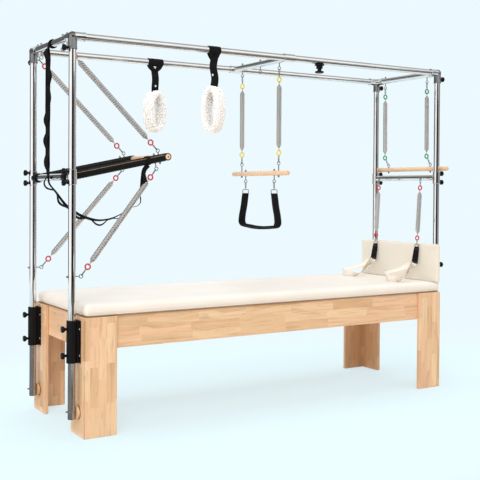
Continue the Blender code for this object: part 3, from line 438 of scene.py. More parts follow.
def lathe(profile, at, direction=Z, sides=32, closed=False, flutes=0, flute_depth=0.0):
    """Turned shape from (radius, height) points. A radius of 0 closes it with one point."""
    place = turn_to(direction, at)
    points, rings, run = [], [], []
    for radius, height in profile:
        count = 1 if radius == 0 else sides
        rings.append((len(points), count))
        for i in range(count):
            a = math.tau * i / sides
            r = radius
            if flutes and radius > flute_depth * 3:
                r -= flute_depth * max(0.0, math.cos(flutes * a)) ** 2
            points.append(place @ Vector((r * math.cos(a), r * math.sin(a), height)))
            run.append((height, radius * a, 0))
    faces = []
    for (a, n), (b, m) in zip(rings, rings[1:] + (rings[:1] if closed else [])):
        for i in range(sides):
            j = (i + 1) % sides
            quad = [a + i % n, a + j % n, b + j % m, b + i % m]
            faces.append([p for k, p in enumerate(quad) if p not in quad[:k]])
    return points, faces, run


def rod(a, b, radius, sides=32):
    """Solid bar with a small chamfer at both ends."""
    a, b = Vector(a), Vector(b)
    long, rim = (b - a).length, radius - EASED
    profile = [(0, 0), (rim, 0), (radius, EASED), (radius, long - EASED), (rim, long), (0, long)]
    return lathe(profile, a, b - a, sides)


def collar(at, axis, inner, outer, low, high, eased_by=EASED):
    """Turned ring with a bore and eased edges, between two heights along its axis."""
    rim = outer - eased_by
    profile = [(inner, low), (rim, low), (outer, low + eased_by), (outer, high - eased_by), (rim, high), (inner, high)]
    return lathe(profile, at, axis, 48, closed=True)


def tube(a, b, outer, inner):
    """Open tube with a wall."""
    a, b = Vector(a), Vector(b)
    return collar(a, b - a, inner, outer, 0, (b - a).length)


def smooth_path(points, steps=8):
    """Catmull-Rom curve through points, as a list of points."""
    points = [Vector(p) for p in points]
    last = len(points) - 1
    made = []
    for i in range(last):
        p = [points[min(max(i + k - 1, 0), last)] for k in range(4)]
        for s in range(steps):
            t = s / steps
            a = 2 * p[1] + (p[2] - p[0]) * t + (2 * p[0] - 5 * p[1] + 4 * p[2] - p[3]) * t * t
            made.append((a + (3 * p[1] - p[0] - 3 * p[2] + p[3]) * t**3) / 2)
    return [*made, points[-1]]


def section(width, thick, corner=0.45, steps=3):
    """Flat rounded outline for a strap, as points across and through it."""
    r = min(width, thick) * min(corner, 0.49)
    made = []
    for cx, cy, first in ((1, 1, 0), (-1, 1, 1), (-1, -1, 2), (1, -1, 3)):
        for s in range(steps):
            a = math.pi / 2 * (first + s / (steps - 1))
            made.append((cx * (width / 2 - r) + r * math.cos(a), cy * (thick / 2 - r) + r * math.sin(a)))
    return made


def circle(radius, sides=10):
    """Round outline."""
    turns = [math.tau * i / sides for i in range(sides)]
    return [(radius * math.cos(a), radius * math.sin(a)) for a in turns]


def sweep(path, shape, wide=None, cyclic=False, sizes=None):
    """Outline carried along a path. Wide is the direction of the outline's first axis."""
    path = [Vector(p) for p in path]
    count, sides = len(path), len(shape)
    points, run, gone, turn = [], [], 0.0, None
    for i, here in enumerate(path):
        before = path[i - 1] if cyclic or i else here
        after = path[(i + 1) % count] if cyclic or i < count - 1 else here
        along = (after - before).normalized()
        if wide is None:
            turn = turn or (Z if abs(along.z) < 0.8 else X)
        else:
            turn = Vector(wide[i]) if isinstance(wide, list) else Vector(wide)
        x = (turn - along * turn.dot(along)).normalized()
        if wide is None:
            turn = x
        y = along.cross(x)
        gone += (here - path[i - 1]).length if i else 0.0
        size = sizes[i] if sizes else (1.0, 1.0)
        for u, v in shape:
            points.append(here + x * u * size[0] + y * v * size[1])
            run.append((gone, u * size[0], 0))
    faces = []
    for i in range(count if cyclic else count - 1):
        a, b = i * sides, (i + 1) % count * sides
        for j in range(sides):
            k = (j + 1) % sides
            faces.append([a + j, a + k, b + k, b + j])
    if not cyclic:
        faces.append(list(range(sides)))
        faces.append([(count - 1) * sides + j for j in reversed(range(sides))])
    return points, faces, run


def wire(path, radius, cyclic=False, sides=10):
    """Round wire along a path."""
    return sweep(path, circle(radius, sides), cyclic=cyclic)


def ring(centre, normal, major, minor, around=32, sides=10):
    """Ring of round wire."""
    place = turn_to(normal, centre)
    turns = np.linspace(0, math.tau, around, False)
    loop = [place @ Vector((major * math.cos(a), major * math.sin(a), 0)) for a in turns]
    return sweep(loop, circle(minor, sides), wide=Vector(normal), cyclic=True)


def block(low, high, edge=0.001):
    """Box with rounded edges."""
    low, high = Vector(low), Vector(high)
    place = Matrix.Translation((low + high) / 2) @ Matrix.Diagonal((*(high - low), 1))
    shape = bmesh.new()
    bmesh.ops.create_cube(shape, size=1.0)
    bmesh.ops.transform(shape, verts=shape.verts, matrix=place)
    bmesh.ops.bevel(shape, geom=shape.edges, offset=edge, segments=3, profile=0.5, affect="EDGES")
    shape.verts.index_update()
    points = [v.co.copy() for v in shape.verts]
    faces = [[v.index for v in f.verts] for f in shape.faces]
    shape.free()
    return points, faces, [(0, 0, 0)] * len(points)


print("makers ready")

# %% Join shapes into a piece
def mesh_of(name, parts, angle=38):
    """One mesh from (shape, finish) pairs, with its faces turned outwards."""
    points, faces, runs, index, finishes = [], [], [], [], []
    for (more, corners, run), finish in parts:
        if finish not in finishes:
            finishes.append(finish)
        base = len(points)
        points += more
        runs += run
        faces += [[base + c for c in face] for face in corners]
        index += [finishes.index(finish)] * len(corners)
    mesh = bpy.data.meshes.new(name)
    mesh.from_pydata([tuple(p) for p in points], [], faces)
    mesh.attributes.new("run", "FLOAT_VECTOR", "POINT").data.foreach_set("vector", np.array(runs, np.float32).ravel())
    mesh.polygons.foreach_set("material_index", index)
    for finish in finishes:
        mesh.materials.append(finish)
    shape = bmesh.new()
    shape.from_mesh(mesh)
    bmesh.ops.recalc_face_normals(shape, faces=shape.faces)
    shape.to_mesh(mesh)
    shape.free()
    mesh.polygons.foreach_set("use_smooth", [True] * len(mesh.polygons))
    mesh.set_sharp_from_angle(angle=math.radians(angle))
    return mesh


made_pieces = []


def piece(name, parts, body, replaces=(), angle=38):
    """Makes a piece, and says which body it rides on, and the solids that it stands for."""
    mesh = parts if isinstance(parts, bpy.types.Mesh) else mesh_of(name, parts, angle)
    made = object_of(name, mesh)
    if isinstance(body, str):
        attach(made, body)
    else:
        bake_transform(made)
    if replaces:
        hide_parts(*replaces)
    made_pieces.append(name)
    return made


# %% [markdown]
# ## Geometry Nodes for what repeats
# A spring is one wire wound the same way a hundred times, so its shape follows a rule: distance along the
# spring gives the angle, and the winding narrows near both ends. A geometry tree states that rule once,
# and each spring only fills in its length, width and number of turns.

# %% Tree that winds a spring
def tree_of(name, **inputs):
    """Starts a geometry tree. Inputs are (socket type, default)."""
    tree = bpy.data.node_groups.new(name, "GeometryNodeTree")
    tree.interface.new_socket("Geometry", in_out="INPUT", socket_type="NodeSocketGeometry")
    tree.interface.new_socket("Geometry", in_out="OUTPUT", socket_type="NodeSocketGeometry")
    for label, (kind, default) in inputs.items():
        socket = tree.interface.new_socket(label, in_out="INPUT", socket_type=kind)
        if default is not None:
            socket.default_value = default
    return tree, add(tree, "NodeGroupInput"), tree.nodes.new("NodeGroupOutput")


def finish_tree(tree, ending, geometry, finish):
    """Ends a geometry tree: real copies, with their finish."""
    real = add(tree, "GeometryNodeRealizeInstances", None, {0: geometry})
    painted = add(tree, "GeometryNodeSetMaterial", None, {"Geometry": real, "Material": finish})
    tree.links.new(painted.socket, ending.inputs[0])


def grow(tree, source, **values):
    """Runs a tree on a mesh and returns the result as a plain mesh."""
    holder = object_of("grower", source)
    modifier = holder.modifiers.new("grow", "NODES")
    modifier.node_group = tree
    ids = {s.name: s.identifier for s in tree.interface.items_tree if s.in_out == "INPUT"}
    for label, value in values.items():
        modifier[ids[label]] = value
    bpy.context.view_layer.update()
    result = bpy.data.meshes.new_from_object(holder.evaluated_get(bpy.context.evaluated_depsgraph_get()))
    bpy.data.objects.remove(holder, do_unlink=True)
    return result


FLOAT, INTEGER = "NodeSocketFloat", "NodeSocketInt"
POINTS_IN_A_TURN = 14.0
coil_tree, given, ending = tree_of(
    "wound_spring",
    Length=(FLOAT, 0.3),
    Radius=(FLOAT, 0.013),
    Tip=(FLOAT, 0.003),
    Taper=(FLOAT, 0.022),
    Pitch=(FLOAT, 0.0022),
    Wire=(FLOAT, 0.0014),
    Finish=("NodeSocketMaterial", None),
)
length = given.out("Length")
turns = length / given.out("Pitch")
line = add(coil_tree, "GeometryNodeCurvePrimitiveLine", None, {"End": vector(0.0, 0.0, length)})
count = (turns * POINTS_IN_A_TURN).math("ROUND")
line = add(coil_tree, "GeometryNodeResampleCurve", {"mode": "COUNT"}, {"Curve": line, "Count": count})
along = add(coil_tree, "GeometryNodeSplineParameter", output="Factor")
angle = along * turns * math.tau
to_end = (0.5 - (along - 0.5).math("ABSOLUTE")) * length
widen = to_end.ramp(0.0, given.out("Taper"), given.out("Tip"), given.out("Radius"))
offset = vector(angle.math("COSINE") * widen, angle.math("SINE") * widen, 0.0)
wound = add(coil_tree, "GeometryNodeSetPosition", None, {"Geometry": line, "Offset": offset})
round_wire = add(coil_tree, "GeometryNodeCurvePrimitiveCircle", None, {"Resolution": 6, "Radius": given.out("Wire")})
sockets = {"Curve": wound, "Profile Curve": round_wire, "Fill Caps": True}
swept = add(coil_tree, "GeometryNodeCurveToMesh", None, sockets)
finish_tree(coil_tree, ending, swept, given.out("Finish"))
print("spring tree has", len(coil_tree.nodes), "nodes")

# %% [markdown]
# Screws and stitches are copies of one small shape. Each place is a point with two attributes: the way
# that it faces, and the way that it runs. The tree turns a copy onto each point. One tree serves both.

# %% Tree that sets copies on points
copy_tree, given, ending = tree_of("set_copies", Copy=("NodeSocketObject", None), Finish=("NodeSocketMaterial", None))
facing = add(copy_tree, "GeometryNodeInputNamedAttribute", {"data_type": "FLOAT_VECTOR"}, {"Name": "facing"})
running = add(copy_tree, "GeometryNodeInputNamedAttribute", {"data_type": "FLOAT_VECTOR"}, {"Name": "running"})
model = add(copy_tree, "GeometryNodeObjectInfo", None, {"Object": given.out("Copy")}, output="Geometry")
first = add(copy_tree, "FunctionNodeAlignRotationToVector", {"axis": "Z"}, {"Vector": facing})
settings = {"axis": "X", "pivot_axis": "Z"}
both = add(copy_tree, "FunctionNodeAlignRotationToVector", settings, {"Rotation": first, "Vector": running})
sockets = {"Points": given.out("Geometry"), "Instance": model, "Rotation": both}
copies = add(copy_tree, "GeometryNodeInstanceOnPoints", None, sockets)
finish_tree(copy_tree, ending, copies, given.out("Finish"))


def set_copies(model_parts, places, finish):
    """Copies of a small shape at (point, facing, running) places, as one plain mesh."""
    model = object_of("model", mesh_of("model", model_parts))
    dots = bpy.data.meshes.new("dots")
    dots.from_pydata([tuple(p[0]) for p in places], [], [])
    for k, label in ((1, "facing"), (2, "running")):
        values = np.array([tuple(p[k]) for p in places], np.float32).ravel()
        dots.attributes.new(label, "FLOAT_VECTOR", "POINT").data.foreach_set("vector", values)
    made = grow(copy_tree, dots, Copy=model, Finish=finish)
    bpy.data.objects.remove(model, do_unlink=True)
    return made


def shape_of(mesh, place=None):
    """A plain mesh as a shape that can be joined into a piece."""
    place = place or Matrix.Identity(4)
    points = [place @ v.co for v in mesh.vertices]
    return points, [list(p.vertices) for p in mesh.polygons], [(0, 0, 0)] * len(points)


# A pan head with a square recess, and one short stitch of thread.
screw_head = [(0, 0.0004), (0.0014, 0.0004), (0.0016, 0.0018), (0.0032, 0.0018)]
screw_head += [(0.0045, 0.0009), (0.0048, 0.0), (0.0048, -0.0025), (0, -0.0025)]
screw_model = [(lathe(screw_head, (0, 0, 0), Z, 16), bright_steel)]
stitch_path = [(-0.0016, 0, -0.0004), (-0.0012, 0, 0.0003), (0.0012, 0, 0.0003), (0.0016, 0, -0.0004)]
stitch_model = [(wire(stitch_path, 0.00035, sides=5), thread)]
print("copy tree has", len(copy_tree.nodes), "nodes")

# %% [markdown]
# ## The cage
# The cage is 38 mm stainless tube. Four posts stand in brackets on the legs, and a fitting at each upper
# corner takes the post, the rail along the bed and the tube across it. Eyebolts go right through a tube:
# a ring inside the cage, a domed nut outside. The tubes here have 48 sides, because a mirror finish shows
# every flat.

# %% Sizes of the cage
TUBE_R = 0.019
TUBE_BORE = TUBE_R - 0.0022
# The bore of what slides on a tube or clamps round it, how far from a corner's centre the tubes end, and
# how far a knob sinks into what carries it.
SLIDE_R, TUBE_STOP, KNOB_SINK = TUBE_R + 0.0003, 0.025, 0.002
POST_X, POST_Y, RAIL_Z = 1.2305, 0.298, 1.996
LEFT_BAR_Z, RIGHT_BAR_Z = 1.297, 1.3245
EYE_R, EYE_WIRE, EYE_DROP, EYE_Y = 0.0095, 0.0022, 0.048, 0.204
FITTING_R, FITTING_REACH = 0.0235, 0.066
BRACKET_R, BRACKET_LOW, BRACKET_TOP = 0.0265, 0.371, 0.583
POST_FOOT_Z, SPACER_Z, POST_EYE_Z = 0.090, 0.121, 0.8015
ARM_Y, ARM_R, ARM_LENGTH, ARM_RISE = 0.222, 0.021, 0.5725, math.radians(11.76)
CORNERS = ((-1, -1, "fl"), (-1, 1, "bl"), (1, -1, "fr"), (1, 1, "br"))
SIDES = ((-1, "front"), (1, "back"))


def eyebolt(on_axis, direction, drop=EYE_DROP, through=TUBE_R):
    """Eyebolt through a bar: ring and shoulder on one side, washer and domed nut on the other."""
    on_axis, d = Vector(on_axis), Vector(direction).normalized()
    flat = through - 0.0008
    nut = [(0, 0.0125), (0.002, 0.0122), (0.0042, 0.0098), (0.0052, 0.0062), (0.0060, 0.0058)]
    nut += [(0.0060, 0.001), (0.0068, 0.001), (0.0068, -0.0002), (0, -0.0002)]
    shoulder = [(0, -0.001), (0.0052, -0.001), (0.0052, 0.0012), (0.0032, 0.0022), (0.0032, 0.004), (0, 0.004)]
    return [
        (rod(on_axis - d * flat, on_axis + d * (drop - EYE_R), 0.0030, 16), plated),
        (ring(on_axis + d * drop, Y, EYE_R, EYE_WIRE, 28), plated),
        (lathe(nut, on_axis - d * flat, -d, 18), plated),
        (lathe(shoulder, on_axis + d * flat, d, 18), plated),
    ]


def knob(seat, direction, reach=0.031, radius=0.0165):
    """Moulded clamping knob with shallow flutes and a threaded stem."""
    profile = [
        (0, reach),
        (radius * 0.62, reach - 0.0004),
        (radius * 0.88, reach - 0.0016),
        (radius, reach - 0.0045),
        (radius, reach - 0.0115),
        (radius * 0.86, reach - 0.0150),
        (0.0078, reach - 0.0215),
        (0.0065, reach - 0.0235),
        (0.0065, 0.0035),
    ]
    stem = [(0.0065, 0.0035), (0.0042, 0.0035), (0.0042, -0.002), (0, -0.002)]
    return [(lathe(profile + stem, seat, direction, 48, flutes=6, flute_depth=0.0012), knob_plastic)]


# %% Posts, rails and end tubes
# A thin dark ring on the leg's face round the spacer.
dark_ring = [(0.0345, 0.0014), (0.0350, 0.0014), (0.0352, 0.0018)]
dark_ring += [(0.0352, 0.0036), (0.0350, 0.0040), (0.0345, 0.0040)]
foot_cap = [(0, 0.0), (0.0186, 0.0), (0.0186, 0.001), (0.0165, 0.003), (0.0165, 0.012), (0, 0.012)]
for sx, sy, tag in CORNERS:
    x, y = sx * POST_X, sy * POST_Y
    parts = [(tube((x, y, BRACKET_LOW + 0.004), (x, y, RAIL_Z - TUBE_STOP), TUBE_R, TUBE_BORE), polished)]
    # The post below the bracket is darker steel: painted shade under the bed.
    parts.append((tube((x, y, POST_FOOT_Z), (x, y, BRACKET_LOW + 0.0045), TUBE_R, TUBE_BORE), painted_shade_steel))
    pin_z = SPACER_Z + 0.007
    pin_from, pin_to = (x - sx * (TUBE_R - 0.001), y, pin_z), (x + sx * (TUBE_R + 0.011), y, pin_z)
    parts.append((rod(pin_from, pin_to, 0.004, 16), plated))
    parts.append((ring((x, y, pin_z), Z, TUBE_R + 0.0016, 0.0016, 32, 8), plated))
    parts.append((lathe(dark_ring, (sx * LEG_X, y, SPACER_Z), X * sx, 40, closed=True), knob_plastic))
    parts.append((lathe(foot_cap, (x, y, POST_FOOT_Z - 0.0008), Z, 32), knob_plastic))
    if sx < 0:
        parts += eyebolt((x, y, POST_EYE_Z), X)
    piece(f"cage_post_{tag}", parts, "frame", [f"post_{tag}"])
for sy, tag in SIDES:
    y = sy * POST_Y
    rail = tube((-POST_X + TUBE_STOP, y, RAIL_Z), (POST_X - TUBE_STOP, y, RAIL_Z), TUBE_R, TUBE_BORE)
    piece(f"cage_rail_{tag}", [(rail, polished)], "frame", [f"top_rail_{tag}"])
for sx, tag, eyes in ((-1, "left", (-ARM_Y, ARM_Y, -0.1615, 0.167)), (1, "right", (-EYE_Y, EYE_Y))):
    x = sx * POST_X
    end_tube = tube((x, -POST_Y + TUBE_STOP, RAIL_Z), (x, POST_Y - TUBE_STOP, RAIL_Z), TUBE_R, TUBE_BORE)
    parts = [(end_tube, polished)]
    for y in eyes:
        parts += eyebolt((x, y, RAIL_Z), -Z)
    piece(f"cage_end_{tag}", parts, "frame", [f"end_tube_{tag}"])

# %% [markdown]
# A corner fitting is cast: three sockets that run into one round elbow. Each socket ends in a rolled lip,
# and a knob below the elbow locks the post. The elbow and the lower socket are dark steel: painted dark
# reflection of polished metal.

# %% Corner fittings
radius, reach = FITTING_R - 0.0012, FITTING_REACH
lip = radius + 0.0012
socket = [(0, 0), (radius, 0), (radius, reach - 0.010), (lip, reach - 0.008), (lip, reach - 0.001), (radius, reach)]
socket += [(SLIDE_R, reach), (SLIDE_R, reach - 0.012), (0, reach - 0.012)]
half_turn = np.linspace(-math.pi / 2, math.pi / 2, 17)
elbow = [(FITTING_R * math.cos(a), FITTING_R * math.sin(a)) for a in half_turn]
elbow[0], elbow[-1] = (0, -FITTING_R), (0, FITTING_R)
# The way that each corner's knob points, and its drop below the elbow.
CORNER_KNOBS = {"fl": (-X, 0.060), "bl": (Y, 0.056), "fr": (X, 0.038), "br": (X, 0.038)}
for sx, sy, tag in CORNERS:
    centre = Vector((sx * POST_X, sy * POST_Y, RAIL_Z))
    # Elbow and lower socket in dark steel: painted dark reflection.
    parts = [(lathe(elbow, centre, Z, 32), painted_dark_steel)]
    for way in (-X * sx, -Y * sy, -Z):
        parts.append((lathe(socket, centre, way, 40), painted_dark_steel if way == -Z else polished))
    way, knob_drop = CORNER_KNOBS[tag]
    parts += knob(centre - Z * knob_drop + way * (FITTING_R - KNOB_SINK), way)
    piece(f"cage_corner_{tag}", parts, "frame", [f"corner_{tag}"])
print(len(made_pieces), "pieces so far")

# %% [markdown]
# ## Bars that clamp on the posts
# Each end has a crossbar between two collars. The collars slide on the posts and two knobs lock each. The
# left bar carries the push-through bar. The right bar carries the arm springs on eyebolts.

# %% Crossbars and their knobs
COLLAR_R, COLLAR_HALF, KNOB_STEP = 0.0238, 0.038, 0.028


def crossbar(name, solid, sx, z, eyes, knobs):
    """Bar between two collars, with its eyebolts and, where they don't turn, its knobs."""
    x = sx * POST_X
    parts = [(rod((x, -POST_Y + TUBE_R, z), (x, POST_Y - TUBE_R, z), TUBE_R, 48), polished)]
    for sy in (-1, 1):
        sleeve = collar((x, sy * POST_Y, z), Z, SLIDE_R, COLLAR_R, -COLLAR_HALF, COLLAR_HALF, 0.0015)
        parts.append((sleeve, polished))
        for dz in (-KNOB_STEP, KNOB_STEP) if knobs else ():
            parts += knob(Vector((x + sx * (COLLAR_R - KNOB_SINK), sy * POST_Y, z + dz)), X * sx)
    for y in eyes:
        parts += eyebolt((x, y, z), -X * sx)
    piece(name, parts, "frame", [solid])


crossbar("lower_bar_left", "crossbar_left", -1, LEFT_BAR_Z, (), False)
crossbar("lower_bar_right", "crossbar_right", 1, RIGHT_BAR_Z, (-EYE_Y, 0, EYE_Y), True)
for sy, side in SIDES:
    for dz, level_name in ((-KNOB_STEP, "low"), (KNOB_STEP, "high")):
        body = f"knob_left_{side}_{level_name}"
        seat = Vector((-POST_X - COLLAR_R + KNOB_SINK, sy * POST_Y, LEFT_BAR_Z + dz))
        piece(f"clamp_{side}_{level_name}", knob(seat, -X), body, [body])

# %% [markdown]
# ## Brackets and clamps
# A bracket holds each post on its leg: a powder coated sleeve, a web, and a flange that is screwed to the
# end board. The backboard hangs on the right posts by two smaller clamps of the same kind.

# %% Brackets on the legs, and clamps of the backboard
BOARD_X, BOARD_THICK = 1.170, 0.027


def plate(x_a, x_b, y, half, low, high, edge=0.001):
    """Enamelled plate between two places along X, centred on Y."""
    return (block((min(x_a, x_b), y - half, low), (max(x_a, x_b), y + half, high), edge), enamel)


bracket_screws = []
for sx, sy, tag in CORNERS:
    x, y = sx * POST_X, sy * POST_Y
    face, out = sx * (LEG_X + 0.0003), sx * (LEG_X + 0.0048)
    parts = [(collar((x, y, 0), Z, SLIDE_R, BRACKET_R, BRACKET_LOW, BRACKET_TOP, 0.0012), enamel)]
    parts.append(plate(face, out, y, 0.037, BRACKET_LOW, BRACKET_TOP, 0.0015))
    inner = x - sx * (TUBE_R + 0.001)
    web_from, web_to = min(out, inner) - 0.001, max(out, inner) + 0.002
    for side in (-1, 1):
        parts.append(plate(web_from, web_to, y + side * 0.0205, 0.004, BRACKET_LOW + 0.0006, BRACKET_TOP - 0.0006))
    for z in (0.409, 0.541):
        way = -X if sx < 0 else Y * -sy
        parts += knob(Vector((x, y, z)) + way * (BRACKET_R - KNOB_SINK), way)
        for side in (-1, 1):
            bracket_screws.append((Vector((out, y + side * 0.0305, z)), X * sx, Z))
    piece(f"leg_bracket_{tag}", parts, "frame", [f"bracket_{tag}"])
for sy, tag in SIDES:
    y, z = sy * POST_Y, 0.765
    back = BOARD_X + BOARD_THICK + 0.0003
    parts = [(collar((POST_X, y, 0), Z, SLIDE_R, BRACKET_R, z - 0.03, z + 0.03, 0.0012), enamel)]
    parts.append(plate(back, back + 0.005, y, 0.034, z - 0.04, z + 0.04, 0.0015))
    parts.append(plate(back + 0.004, POST_X - 0.0192, y, 0.020, z - 0.029, z + 0.029))
    parts += knob(Vector((POST_X + BRACKET_R - KNOB_SINK, y, z)), X)
    piece(f"back_clamp_{tag}", parts, "frame", [f"board_clamp_{tag}"])

# %% [markdown]
# Screws show on the flanges, and four on each leg, where the rails behind it are fixed. They are copies of
# one pan head, set by the copy tree.

# %% Screws
leg_screws = []
for sx in (-1, 1):
    for sy in (-1, 1):
        for z in (0.549, 0.469):
            leg_screws.append((Vector((sx * 1.053, sy * (LEG_Y + 0.0004), z)), Y * sy, Z))
        for z in (0.556, 0.492):
            leg_screws.append((Vector((sx * (LEG_X + 0.0004), sy * 0.2180, z)), X * sx, Z))
screws = set_copies(screw_model, bracket_screws + leg_screws, bright_steel)
piece("screws", screws, "frame")
print(len(bracket_screws + leg_screws), "screws")

# %% [markdown]
# ## Springs
# A spring hangs between two eyes. At each end a snap hook clips into the eye, and a dipped steel ring
# joins the hook to the wire. The colour of the ring tells the strength of the spring. The maker below
# takes the two eyes and works out everything between them along one line.

# %% Maker of a spring with its rings and snap hooks
RING_R, RING_WIRE, COIL_NECK = 0.0135, 0.0040, 0.0125


def snap_hook(seat, near, eye_normal=None, side=Y):
    """Snap hook from the wire of an eye to the wire of a ring: jaw, gate, thumb pin, barrel and swivel eye."""
    along = (near - seat).normalized()
    across = (side - along * side.dot(along)).normalized()
    # The hook reaches a wire's thickness past both things that it holds.
    long = (near - seat).length + 0.0046
    far = seat - along * 0.0048
    half, jaw = 0.0052, long * 0.60
    loop = []
    for i in range(9):
        a = math.pi * i / 8
        loop.append(far + along * half * (1 - math.sin(a)) - across * half * math.cos(a))
    for i in range(7):
        a = math.pi * i / 6
        loop.append(far + along * (jaw - half + half * math.sin(a)) + across * half * math.cos(a))
    gate_at = far + across * half
    parts = [(wire(loop, 0.0019, cyclic=True, sides=8), plated)]
    parts.append((rod(gate_at + along * 0.006, gate_at + along * (jaw - 0.004), 0.0023, 10), plated))
    parts.append((rod(gate_at + along * 0.011, gate_at + along * 0.011 + across * 0.0045, 0.0013, 8), plated))
    barrel = [(0, 0), (0.0030, 0), (0.0042, 0.0015), (0.0042, 0.0060), (0.0030, 0.0078), (0, 0.0078)]
    parts.append((lathe(barrel, far + along * (jaw - 0.0015), along, 16), plated))
    swivel = far + along * (long - half)
    parts.append((rod(far + along * (jaw + 0.005), swivel - along * 0.0048, 0.0016, 10), plated))
    parts.append((ring(swivel, eye_normal or along.cross(across), half, 0.0016, 20, 8), plated))
    return parts


def spring(name, eye_a, eye_b, hook_a, hook_b, colour, body, solid, hang=None, side_b=Y):
    """Spring between two eyes. Hang is the centre of its lower ring, where the hook below turns aside."""
    eye_a, eye_b = Vector(eye_a), Vector(eye_b)
    level_way = (hang or eye_b) - eye_a
    level_way.y = 0
    seat_a = eye_a + level_way.normalized() * EYE_R
    if hang:
        along, pull = (hang - seat_a).normalized(), (eye_b - hang).normalized()
        seat_b, ring_b = eye_b - pull * EYE_R, hang
    else:
        seat_b = eye_b - level_way.normalized() * EYE_R
        along = pull = (seat_b - seat_a).normalized()
        ring_b = seat_b - along * hook_b
    across = (Y - along * Y.dot(along)).normalized()
    ring_a = seat_a + along * hook_a
    tip_a, tip_b = ring_a + along * (RING_R + COIL_NECK), ring_b - along * (RING_R + COIL_NECK)
    wound = grow(coil_tree, bpy.data.meshes.new("seed"), Length=(tip_b - tip_a).length, Finish=wire_steel)
    parts = [(shape_of(wound, turn_to(along, tip_a)), wire_steel)]
    ends = ((seat_a, ring_a, tip_a, along, -along, Y), (seat_b, ring_b, tip_b, -along, pull, side_b))
    for seat, centre, tip, inward, outward, side in ends:
        parts.append((ring(centre, Y, RING_R, RING_WIRE, 36, 12), dipped[colour]))
        parts += snap_hook(seat, centre + outward * RING_R, side=side)
        hold = centre + inward * (RING_R + 0.0002)
        parts.append((ring(hold, inward.cross(across), 0.0048, 0.0014, 20, 8), wire_steel))
        parts.append((rod(hold + inward * 0.0046, tip + inward * 0.002, 0.0018, 10), wire_steel))
    if body == "push_bar":
        body = ("frame", "push_bar", eye_a, eye_b)
    piece(name, parts, body, [solid])


# %% Hang the springs
TRAPEZE_X, TRAPEZE_BAR_Z, TRAPEZE_UP, DOWEL_R = 0.070, 1.3385, 0.057, 0.0145
ROLL_X, ROLL_Z, ROLL_UP = 1.2665, 1.3846, 0.028
SLEEVE_WIDE, SLEEVE_THICK = Vector((0.722, -0.692, 0)), Vector((0.692, 0.722, 0))
FOOT = Vector((1.155, 0, 0.885))
pivot = Vector((-POST_X, 0, LEFT_BAR_Z))
arm_way = Vector((math.cos(ARM_RISE), 0, math.sin(ARM_RISE)))
arm_up = Vector((-math.sin(ARM_RISE), 0, math.cos(ARM_RISE)))
# Where the arm's two eyebolts stand along it, and how far their rings are from its middle line.
UPPER_AT, UPPER_DROP, LOWER_AT, LOWER_DROP = 0.528, 0.042, 0.501, 0.052
for sy, side in SIDES:
    y = sy * EYE_Y
    top = (TRAPEZE_X, y, RAIL_Z - EYE_DROP)
    low = (TRAPEZE_X, y, TRAPEZE_BAR_Z + TRAPEZE_UP)
    spring(f"trapeze_coil_{side}", top, low, 0.057, 0.052, "yellow", "trapeze", f"trapeze_spring_{side}")
    top, low = (POST_X, y, RAIL_Z - EYE_DROP), (ROLL_X, y, ROLL_Z + ROLL_UP)
    hang = Vector((POST_X + 0.002, y, ROLL_Z + 0.0819))
    spring(f"roll_coil_{side}", top, low, 0.052, 0, "green", "roll_down", f"roll_spring_{side}", hang)
    top, low = Vector((POST_X - EYE_DROP, y, RIGHT_BAR_Z)), FOOT + Y * y
    spring(f"arm_coil_{side}", top, low, 0.055, 0.040, "red", f"arm_{side}", f"arm_spring_{side}", side_b=SLEEVE_THICK)
    y = sy * ARM_Y
    top = (-POST_X, y, RAIL_Z - EYE_DROP)
    low = pivot + Y * y + arm_way * UPPER_AT + arm_up * UPPER_DROP
    spring(f"push_coil_upper_{side}", top, low, 0.046, 0.050, "red", "push_bar", f"push_spring_upper_{side}")
    low = (-POST_X + EYE_DROP, sy * POST_Y, POST_EYE_Z)
    top = pivot + Y * y + arm_way * LOWER_AT - arm_up * LOWER_DROP
    spring(f"push_coil_lower_{side}", low, top, 0.050, 0.050, "red", "push_bar", f"push_spring_lower_{side}")
print("10 springs hung")

# %% [markdown]
# ## Bars of turned wood
# The trapeze, the roll-down bar and the push-through bar are smooth dowels with eased ends. Eyebolts go
# through them. The carriage of the trapeze is a steel bar between two sleeves that run on the rails.

# %% Carriage, trapeze and roll-down bar
def dowel(at, half, radius, screws=False):
    """Turned bar along Y with eased ends, and a screw in each end where asked."""
    e = 0.003
    profile = [(0, -half), (radius - e, -half), (radius - e * 0.3, -half + e * 0.3), (radius, -half + e)]
    profile += [(r, -h) for r, h in reversed(profile)]
    parts = [(lathe(profile, at, Y, 40), dowel_wood)]
    for sy in (-1, 1) if screws else ():
        head = [(0, 0.0006), (0.0016, 0.0006), (0.002, 0.0014), (0.0036, 0.0012), (0.004, 0), (0, 0)]
        parts.append((lathe(head, Vector(at) + Y * sy * (half - 0.0002), Y * sy, 16), knob_plastic))
    return parts


CARRIAGE_R, CARRIAGE_HALF, CARRIAGE_BAR_R = 0.0226, 0.037, TUBE_R - 0.001
bar_ends = [(TRAPEZE_X, sy * (POST_Y - TUBE_R), RAIL_Z) for sy in (-1, 1)]
parts = [(rod(*bar_ends, CARRIAGE_BAR_R, 48), polished)]
for sy in (-1, 1):
    at = (TRAPEZE_X, sy * POST_Y, RAIL_Z)
    parts.append((collar(at, X, SLIDE_R, CARRIAGE_R, -CARRIAGE_HALF, CARRIAGE_HALF, 0.0012), polished))
for y in (-EYE_Y, 0, EYE_Y):
    parts += eyebolt((TRAPEZE_X, y, RAIL_Z), -Z, through=CARRIAGE_BAR_R)
piece("carriage_bar", parts, "carriage", ["trapeze_carriage"])

